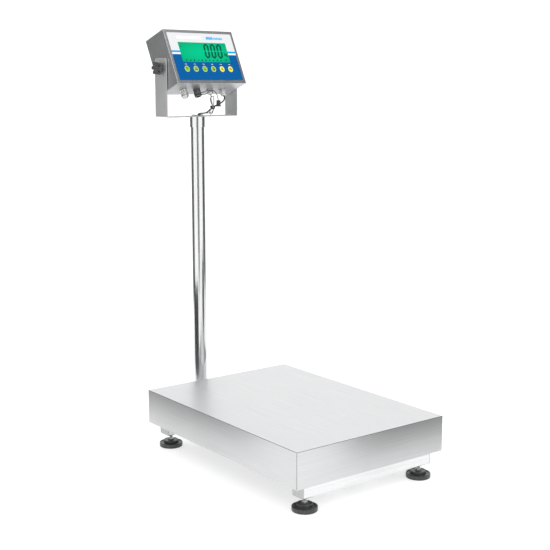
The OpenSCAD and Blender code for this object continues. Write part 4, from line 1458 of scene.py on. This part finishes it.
@dataclass
class Face:
    """The printed film, the display with its figures, and the marks on the film.

    Attributes:
        places: Local frames.
        palette: The finishes.
        ink: Thickness of a printed mark.
        slant: Lean of the display's figures, in degrees.
        stroke: Width of a figure's strokes.
        figure: Width and height of a figure between its strokes' middles.
        pitch: Distance between two figures.
        first: Middle of the first figure in the case's frame.
        dot: Width of the decimal point.
        dot_at: Its middle, across from the first figure's and up.
        unit_at: Middle of the unit sign, across and up its foot.
        unit_size: Size of its letters.
        unit_weight: Thickening of its letters.
    """

    places: Places
    palette: Palette
    ink: float = 0.12 * MM
    slant: float = 5.0
    stroke: float = 6.8 * MM
    figure: tuple[float, float] = (13.4 * MM, 39.4 * MM)
    pitch: float = 25.4 * MM
    first: tuple[float, float] = (10.6 * MM, 34.0 * MM)
    dot: float = 2.8 * MM
    dot_at: tuple[float, float] = (12.6 * MM, 15.0 * MM)
    unit_at: tuple[float, float] = (83.6 * MM, 20.0 * MM)
    unit_size: float = 15 * MM
    unit_weight: float = 0.4 * MM

    def stroke_piece(self, length: float, x: float, z: float, turn: float) -> bpy.types.Object:
        """Makes one pointed stroke of a figure.

        Args:
            length: Its length.
            x: Its middle, across.
            z: Its middle, up.
            turn: Its lean from upright, in degrees.

        Returns:
            The stroke, in front of the window.
        """
        front = local_box("display_window", self.places.case)[0].y
        half = self.stroke / 2
        bar = block("stroke", (-half, -self.ink, -length / 2), (half, 0, length / 2))
        bevel(bar, through, half * 0.96, 1)
        turned_bar = Matrix.Rotation(math.radians(turn), 4, "Y")
        return settle(bar, Matrix.Translation((x, front + 0.01 * MM, z)) @ turned_bar)

    def zero(self, x: float, z: float) -> list[bpy.types.Object]:
        """Makes the six strokes of a nought.

        Args:
            x: Its middle, across.
            z: Its middle, up.

        Returns:
            The strokes.
        """
        width, height = self.figure
        lean = math.tan(math.radians(self.slant))
        gap = 0.5 * MM
        strokes = []
        for side in (-1, 1):
            for part in (-1, 1):
                up = part * height / 4
                strokes.append(self.stroke_piece(height / 2 - gap, x + side * width / 2 + up * lean,
                                                 z + up, self.slant))
            strokes.append(self.stroke_piece(width - gap, x + side * height / 2 * lean,
                                             z + side * height / 2, 90))
        return strokes

    def marks(self, name: str, spots: Sequence[tuple[float, float, float, float]], front: float,
              finish: Finish, slot: str, body: str = "indicator") -> bpy.types.Object:
        """Prints small oblong marks.

        Args:
            name: The piece's name.
            spots: Middle across and up, width and height of each, in millimetres.
            front: Place of the surface that they are on.
            finish: Their finish.
            slot: The record's slot; not used.
            body: The body that carries them.

        Returns:
            The marks as one piece.
        """
        bars = []
        for x, z, width, height in spots:
            bar = block("mark", ((x - width / 2) * MM, front - self.ink, (z - height / 2) * MM),
                        ((x + width / 2) * MM, front + 0.02 * MM, (z + height / 2) * MM))
            bevel(bar, through, min(width, height) * 0.2 * MM, 2)
            bars.append(bar)
        piece = settle(join(name, bars), self.places.case)
        return hand_over(piece, body, self.palette[finish])

    def unit(self, front: float) -> None:
        """Makes the display's unit sign.

        Args:
            front: Place of the window's surface.
        """
        clear_selection()
        bpy.ops.object.text_add(location=(self.unit_at[0], front + 0.01 * MM, self.unit_at[1]),
                                rotation=(math.pi / 2, 0, 0))
        sign = bpy.context.object
        sign.name = "unit_sign"
        sign.data.body, sign.data.size = "kg", self.unit_size
        sign.data.align_x, sign.data.extrude = "CENTER", self.ink
        sign.data.offset = self.unit_weight
        bpy.ops.object.convert(target="MESH")
        pick(sign)
        bpy.ops.object.transform_apply(location=True, rotation=True, scale=True)
        with editing(sign):
            bpy.ops.mesh.select_all(action="SELECT")
            bpy.ops.mesh.remove_doubles(threshold=1e-6)
            bpy.ops.mesh.normals_make_consistent(inside=False)
        settle(sign, self.places.case)
        hand_over(sign, "indicator", self.palette[Finish.SEGMENT])

    def build(self) -> None:
        """Makes the figures and the marks, and dresses the film and the window."""
        self.palette.dress(Finish.FILM, "overlay")
        self.palette.dress(Finish.DISPLAY, "display_window")
        front = local_box("display_window", self.places.case)[0].y
        x, z = self.first
        strokes = [stroke for i in range(3) for stroke in self.zero(x + i * self.pitch, z)]
        dot_x, dot_z, half = x + self.dot_at[0], self.dot_at[1], self.dot / 2
        point = block("point", (dot_x - half, front - self.ink, dot_z - half),
                      (dot_x + half, front, dot_z + half))
        figures = settle(join("display_figures", [*strokes, point]), self.places.case)
        hand_over(figures, "indicator", self.palette[Finish.SEGMENT])
        self.unit(front)
        signs = [(x, 4.2, 3.6 + (i % 3), 3.8) for i, x in enumerate(range(-78, 72, 15))]
        signs += [(x + 1.2, 7.4, 2.2, 1.6) for x in range(-78, 72, 30)]
        signs += [(76, 5, 8, 1.4), (80, 7, 3.4, 3.6), (-86, 46.5, 5.4, 1.2), (-84.2, 48, 1.6, 1.6)]
        self.marks("display_signs", signs, front, Finish.SEGMENT, "display")
        film = local_box("overlay", self.places.case)[0].y
        self.marks("name_strip", [(-46, 75.6, 92, 8)], film, Finish.LABEL, "overlay_print")
        bars = [(x, 75, 4.4, 9) for x in (24, 29.5, 35, 40.5, 46)]
        bars += [(x, 74.2, 4.2, 6.4) for x in (53, 59, 65, 71, 77, 83)]
        self.marks("maker_bars", bars, film, Finish.CYAN, "overlay_print")
        legends = [(x + d, -7.6, w, 1.5) for x in (-85.5, -51.3, -17.1, 17.1, 51.3, 85.5)
                   for d, w in ((-2.4, 2.6), (1.6, 3.4))]
        self.marks("key_legends", legends, film, Finish.LABEL, "overlay_print")


@dataclass
class Keys:
    """Six round keys with pale rims and dark signs.

    Attributes:
        places: Local frames.
        palette: The finishes.
        face: The printer of small marks.
        rim: Width of the pale rim.
    """

    places: Places
    palette: Palette
    face: Face
    rim: float = 0.9 * MM

    def signs(self) -> tuple[tuple[tuple[float, float, float, float], ...], ...]:
        """Marks of each key's sign, from its middle, in millimetres."""
        return (
            ((-0.8, 3.0, 4.6, 3.4), (1.6, 1.0, 2.2, 1.6), (0.2, -3, 1.2, 2.4)),
            ((0, 2.9, 7.6, 1.3), (0.6, -2.2, 6.4, 3.0), (-4, -2.2, 1.2, 3.4)),
            ((-2.4, 2.8, 3.2, 1.3), (2.2, 2.8, 3.2, 1.3), (-2.0, -2.4, 4.4, 3.2),
             (3.2, -2.4, 1.4, 3.2)),
            ((0, 3, 6.2, 1.8), (0.4, -1.8, 6.8, 3.0), (0.4, -4.6, 4.6, 1.2)),
            ((-1.8, 1.6, 3.6, 2.0), (1.8, 2.6, 2.4, 2.2), (0.2, -1.6, 7, 1.8), (2.4, -4, 2.6, 2)),
            ((-3, 0.2, 3.4, 4.4), (1.2, 1.2, 3.6, 2.2), (3.6, -1.2, 3, 3.4)),
        )

    def build(self) -> None:
        """Makes the keys."""
        low, high = local_box("key_1", self.places.case)
        radius, height = (high.x - low.x) / 2, high.y - low.y
        top = radius - self.rim
        cap = turned("key", [(0, 0), (radius - 0.2 * MM, 0), (radius - 0.1 * MM, 0.2 * MM),
                             (radius - 0.1 * MM, height - 0.6 * MM), (top, height - 0.3 * MM),
                             (top - 0.4 * MM, height - 0.1 * MM), (0, height)], 64)
        ring = turned("ring", [(top, height - 0.5 * MM), (radius, height - 0.5 * MM),
                               (radius, height - 0.2 * MM), (radius - 0.25 * MM, height),
                               (top + 0.15 * MM, height), (top, height - 0.15 * MM),
                               (top, height - 0.5 * MM)], 64)
        smooth(cap, 40)
        smooth(ring, 40)
        outward = Matrix.Rotation(math.pi / 2, 4, "X")
        for number, sign in enumerate(self.signs(), 1):
            low, high = local_box(f"key_{number}", self.places.case)
            x, z = (low.x + high.x) / 2, (low.z + high.z) / 2
            place = self.places.case @ Matrix.Translation((x, high.y, z)) @ outward
            colour, slot = ((Finish.GREEN, "key_green"), (Finish.YELLOW, "key_yellow"))[number > 4]
            body = f"button_{number}"
            hand_over(copied(cap, f"key_cap_{number}", place), body, self.palette[colour],
                      [f"key_{number}"])
            hand_over(copied(ring, f"key_rim_{number}", place), body, self.palette[Finish.RIM])
            spots = [(x / MM + a, z / MM + b, w, h) for a, b, w, h in sign]
            self.face.marks(f"key_sign_{number}", spots, low.y + 0.02 * MM, Finish.ICON, slot,
                            body)
        discard(cap, ring)


@dataclass
class Knobs:
    """The two lobed knobs that clamp the case at its tilt.

    Attributes:
        places: Local frames.
        palette: The finishes.
        lobes: Number of lobes.
        lobe_r: Radius of a lobe.
        radius: Radius over the lobes.
        grip: Thickness of the lobed part.
        grip_at: Place of its middle along the pivot.
        stud_ends: Places of the stud's two ends along the pivot.
        pitch: Pitch of the stud's thread.
    """

    places: Places
    palette: Palette
    lobes: int = 6
    lobe_r: float = 5.2 * MM
    radius: float = 19.4 * MM
    grip: float = 9.4 * MM
    grip_at: float = 153.1 * MM
    stud_ends: tuple[float, float] = (126 * MM, 141.4 * MM)
    pitch: float = 1.25 * MM

    def knob(self) -> bpy.types.Object:
        """Makes a knob along Z, with its hub, its lobed grip and the button on its front."""
        hub = turned("hub", [(0, 140.4 * MM), (9.6 * MM, 140.4 * MM), (10.6 * MM, 141 * MM),
                             (11.4 * MM, 149.6 * MM), (0, 149.6 * MM)], 48)
        head = cylinder("grip", self.radius * 0.6, self.grip, (0, 0, self.grip_at))
        reach = self.radius - self.lobe_r
        for number in range(self.lobes):
            turn = math.tau * number / self.lobes
            lobe = cylinder("lobe", self.lobe_r, self.grip,
                            (reach * math.cos(turn), reach * math.sin(turn), self.grip_at), 32)
            apply(head, "BOOLEAN", operation="UNION", solver="EXACT", object=lobe)
            discard(lobe)
        soften(head, 1.3 * MM, 3, 50)
        button = turned("button", [(0, 157 * MM), (7.2 * MM, 157 * MM), (7.2 * MM, 157.9 * MM),
                                   (6.4 * MM, 158.3 * MM), (0, 158.4 * MM)], 40)
        return smooth(join("knob", [hub, head, button]), 42)

    def stud(self) -> bpy.types.Object:
        """Makes the knob's threaded stud along Z."""
        tip, end = self.stud_ends
        rings = [(0, tip), (3.4 * MM, tip)]
        for turn in range(12):
            crest = tip + 0.8 * MM + self.pitch * turn
            rings += [(4 * MM, crest), (3.3 * MM, crest + 0.6 * MM)]
        rings += [(3.9 * MM, end), (0, end)]
        return smooth(turned("knob_stud", rings, 28), 25)

    def build(self) -> None:
        """Makes both knobs."""
        knob, stud = self.knob(), self.stud()
        for side, turn in (("left", -1), ("right", 1)):
            place = self.places.case @ Matrix.Rotation(turn * math.pi / 2, 4, "Y")
            hand_over(copied(knob, f"tilt_knob_{side}", place), f"{side}_knob",
                      self.palette[Finish.KNOB], [f"knob_{side}"])
            hand_over(copied(stud, f"tilt_stud_{side}", place), f"{side}_knob",
                      self.palette[Finish.ZINC])
        discard(knob, stud)


@dataclass
class Connectors:
    """What is under the case: two connectors, two glands, and the dust cap on its lanyard.

    Attributes:
        places: Local frames.
        palette: The finishes.
        across: Place of each from left to right, in millimetres.
        steps: Number of faces round a turned part.
        pins: Number of the data connector's pins.
        pin_ring: Radius of the ring that they stand on.
        lanyard_r: Radius of the lanyard.
    """

    places: Places
    palette: Palette
    across: tuple[float, ...] = (-76.95, -25.65, 25.65, 76.95)
    steps: int = 64
    pins: int = 5
    pin_ring: float = 4 * MM
    lanyard_r: float = 1.1 * MM

    def turned_mm(self, name: str, outline: Sequence[tuple[float, float]],
                  steps: int = 0) -> bpy.types.Object:
        """Turns an outline that is given in millimetres, in its own or the usual steps."""
        points = [(r * MM, z * MM) for r, z in outline]
        return smooth(turned(name, points, steps or self.steps), 30)

    def flange(self) -> bpy.types.Object:
        """Makes the flange and neck that sit against the case."""
        return self.turned_mm("flange", (
            (0, -60), (8.4, -60), (8.4, -66.9), (10.4, -66.9), (11, -67.4), (11, -69.5),
            (10.5, -70), (0, -70)))

    def grooved(self, piece: bpy.types.Object, low: float, high: float, every: int,
                depth: float) -> None:
        """Sinks upright grooves into a connector between two heights in millimetres."""
        ribbed(piece, low * MM, high * MM, self.steps, every, depth, inner=8 * MM)

    def place(self, number: int) -> Matrix:
        """Place of a connector's axis."""
        return self.places.case @ Matrix.Translation((self.across[number] * MM, 0, 0))

    def capped(self) -> None:
        """Makes the nickel connector with its screwed cap."""
        cap = self.turned_mm("cap", (
            (0, -70), (8.8, -70), (8.8, -73.6), (10.2, -74), (10.9, -74.8), (10.9, -87.2),
            (10.3, -88), (9.4, -90.6), (8.4, -91.8), (7.2, -92), (6.4, -91.2), (0, -91.2)))
        self.grooved(cap, -87, -75, 4, 0.45 * MM)
        piece = settle(join("capped_plug", [self.flange(), cap]), self.place(0))
        hand_over(piece, "indicator", self.palette[Finish.NICKEL], ["capped_connector"])

    def data(self) -> None:
        """Makes the black data connector with its open socket and pins."""
        body = self.turned_mm("body", (
            (0, -69), (10.2, -69), (10.2, -74.6), (10.8, -75.4), (11, -76.2), (11, -86.6),
            (10.4, -87.6), (9.8, -88), (7, -88), (7, -80), (0, -80)))
        self.grooved(body, -86.5, -76.3, 2, 0.5 * MM)
        piece = settle(join("data_plug", [self.flange(), body]), self.place(1))
        hand_over(piece, "indicator", self.palette[Finish.GUNMETAL],
                  ["data_connector"])
        pins = []
        for number in range(self.pins):
            turn = math.tau * number / self.pins
            spot = Vector((math.cos(turn), math.sin(turn), 0)) * self.pin_ring
            pin = self.turned_mm("pin", ((0, -79.9), (0.6, -79.9), (0.6, -84), (0.3, -84.5),
                                         (0, -84.5)), 16)
            pins.append(settle(pin, Matrix.Translation(spot)))
        hand_over(settle(join("data_pins", pins), self.place(1)), "indicator",
                  self.palette[Finish.NICKEL])

    def gland(self, number: int, tip: float, bore: float) -> bpy.types.Object:
        """Makes a cable gland: flange, hexagon and domed nut.

        Args:
            number: Its place from the left, from 0.
            tip: Height of its tip, in millimetres.
            bore: Radius of its bore, in millimetres.

        Returns:
            The gland.
        """
        hexagon = prism("hexagon", 10.6 * MM, (tip + 8.4) * MM, -70 * MM, 6, 0.7 * MM)
        outline = ((bore, 12), (9, 12), (9, 8.6), (9.4, 8.2), (9.4, 4.4), (8.6, 2.2), (7.2, 0.7),
                   (5.6, 0), (bore + 0.9, 0), (bore, 0.8), (bore, 12))
        dome = self.turned_mm("dome", [(r, tip + z) for r, z in outline])
        self.grooved(dome, tip + 4.5, tip + 8.1, 4, 0.4 * MM)
        return settle(join("gland", [self.flange(), hexagon, dome]), self.place(number))

    def glands(self) -> None:
        """Makes both glands with their seals."""
        both = join("nickel_glands", [self.gland(2, -82, 1.9), self.gland(3, -87, 2.8)])
        hand_over(both, "indicator", self.palette[Finish.NICKEL], ["cable_glands"])

    def lanyard(self) -> None:
        """Makes the dust cap, its lanyard with a ferrule, and the loop round the connector."""
        head = self.places.head
        cap = self.turned_mm("dust_cover", (
            (0, 0), (2.2, 0), (2.8, -0.6), (5.4, -0.8), (6.2, -1.6), (6.2, -14.8), (7, -15.4),
            (7.4, -16), (7.4, -18.4), (6.9, -19), (5.6, -19), (5.6, -17), (0, -17)))
        ribbed(cap, -14.8 * MM, -1.6 * MM, self.steps, 4, 0.35 * MM)
        settle(cap, head @ Matrix.Translation(Vector((50.6, -38, 48.5)) * MM))
        hand_over(cap, "indicator", self.palette[Finish.PLASTIC], ["dust_cap"])
        route = from_mm(((-14.5, -31, 70.5), (-10, -38, 72), (-4, -43, 74.6), (4, -45.5, 77.4),
                         (12, -46.5, 78.6), (20, -46.5, 77.6), (28, -46, 74.4), (35.5, -44.5, 69),
                         (42, -42, 62), (47, -39.5, 55), (50, -38, 49)))
        line = [head @ p for p in evenly(curve_through(route), MM)]
        cord = tube("lanyard_cord", line, self.lanyard_r)
        hand_over(cord, "indicator", self.palette[Finish.SHEATH_DARK],
                  ["cap_lanyard"])
        line[0]
        run_length(line)
        2 * self.lanyard_r
        loop = from_mm(((-14.6, -30, 66.6), (-10.5, -37, 65.4), (-5, -42, 66.4), (0, -44.6, 69.6),
                        (4, -45.9, 73.6), (8.4, -46.3, 76.4), (12, -46.5, 77.2)))
        strand = tube("lanyard_loop", [head @ p for p in evenly(curve_through(loop), MM)], 1.0 * MM)
        hand_over(strand, "indicator", self.palette[Finish.SHEATH_DARK])
        ferrule = self.turned_mm("ferrule", ((0, -2.6), (1.5, -2.6), (1.9, -2.2), (1.9, 2.2),
                                             (1.5, 2.6), (0, 2.6)), 32)
        tilt = Matrix.Rotation(math.pi / 2, 4, "Y")
        settle(ferrule, head @ Matrix.Translation(Vector((13.5, -46.5, 78)) * MM) @ tilt)
        hand_over(ferrule, "indicator", self.palette[Finish.PLASTIC])

    def build(self) -> None:
        """Makes all four and the dust cap."""
        self.capped()
        self.data()
        self.glands()
        self.lanyard()


def main() -> None:
    """Builds the scale, from the camera and the cords to the smallest pieces."""
    logging.basicConfig(level=logging.INFO, format="%(message)s")
    places = Places.from_joints(frame["joints"])
    palette = Palette(places)
    face = Face(places, palette)
    builders = (
        Studio(), Cables(places, palette), Platform(palette), Feet(palette), Base(palette),
        Column(palette), Bracket(places, palette), Case(places, palette), face,
        Keys(places, palette, face), Knobs(places, palette), Connectors(places, palette),
    )
    for builder in builders:
        builder.build()
        log.info("built %s", type(builder).__name__)


if __name__ == "__main__":
    main()
    boxes = [[list(corner) for corner in box] for box in (packed_box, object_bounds())]
    {"cad": boxes[0], "visual": boxes[1]}
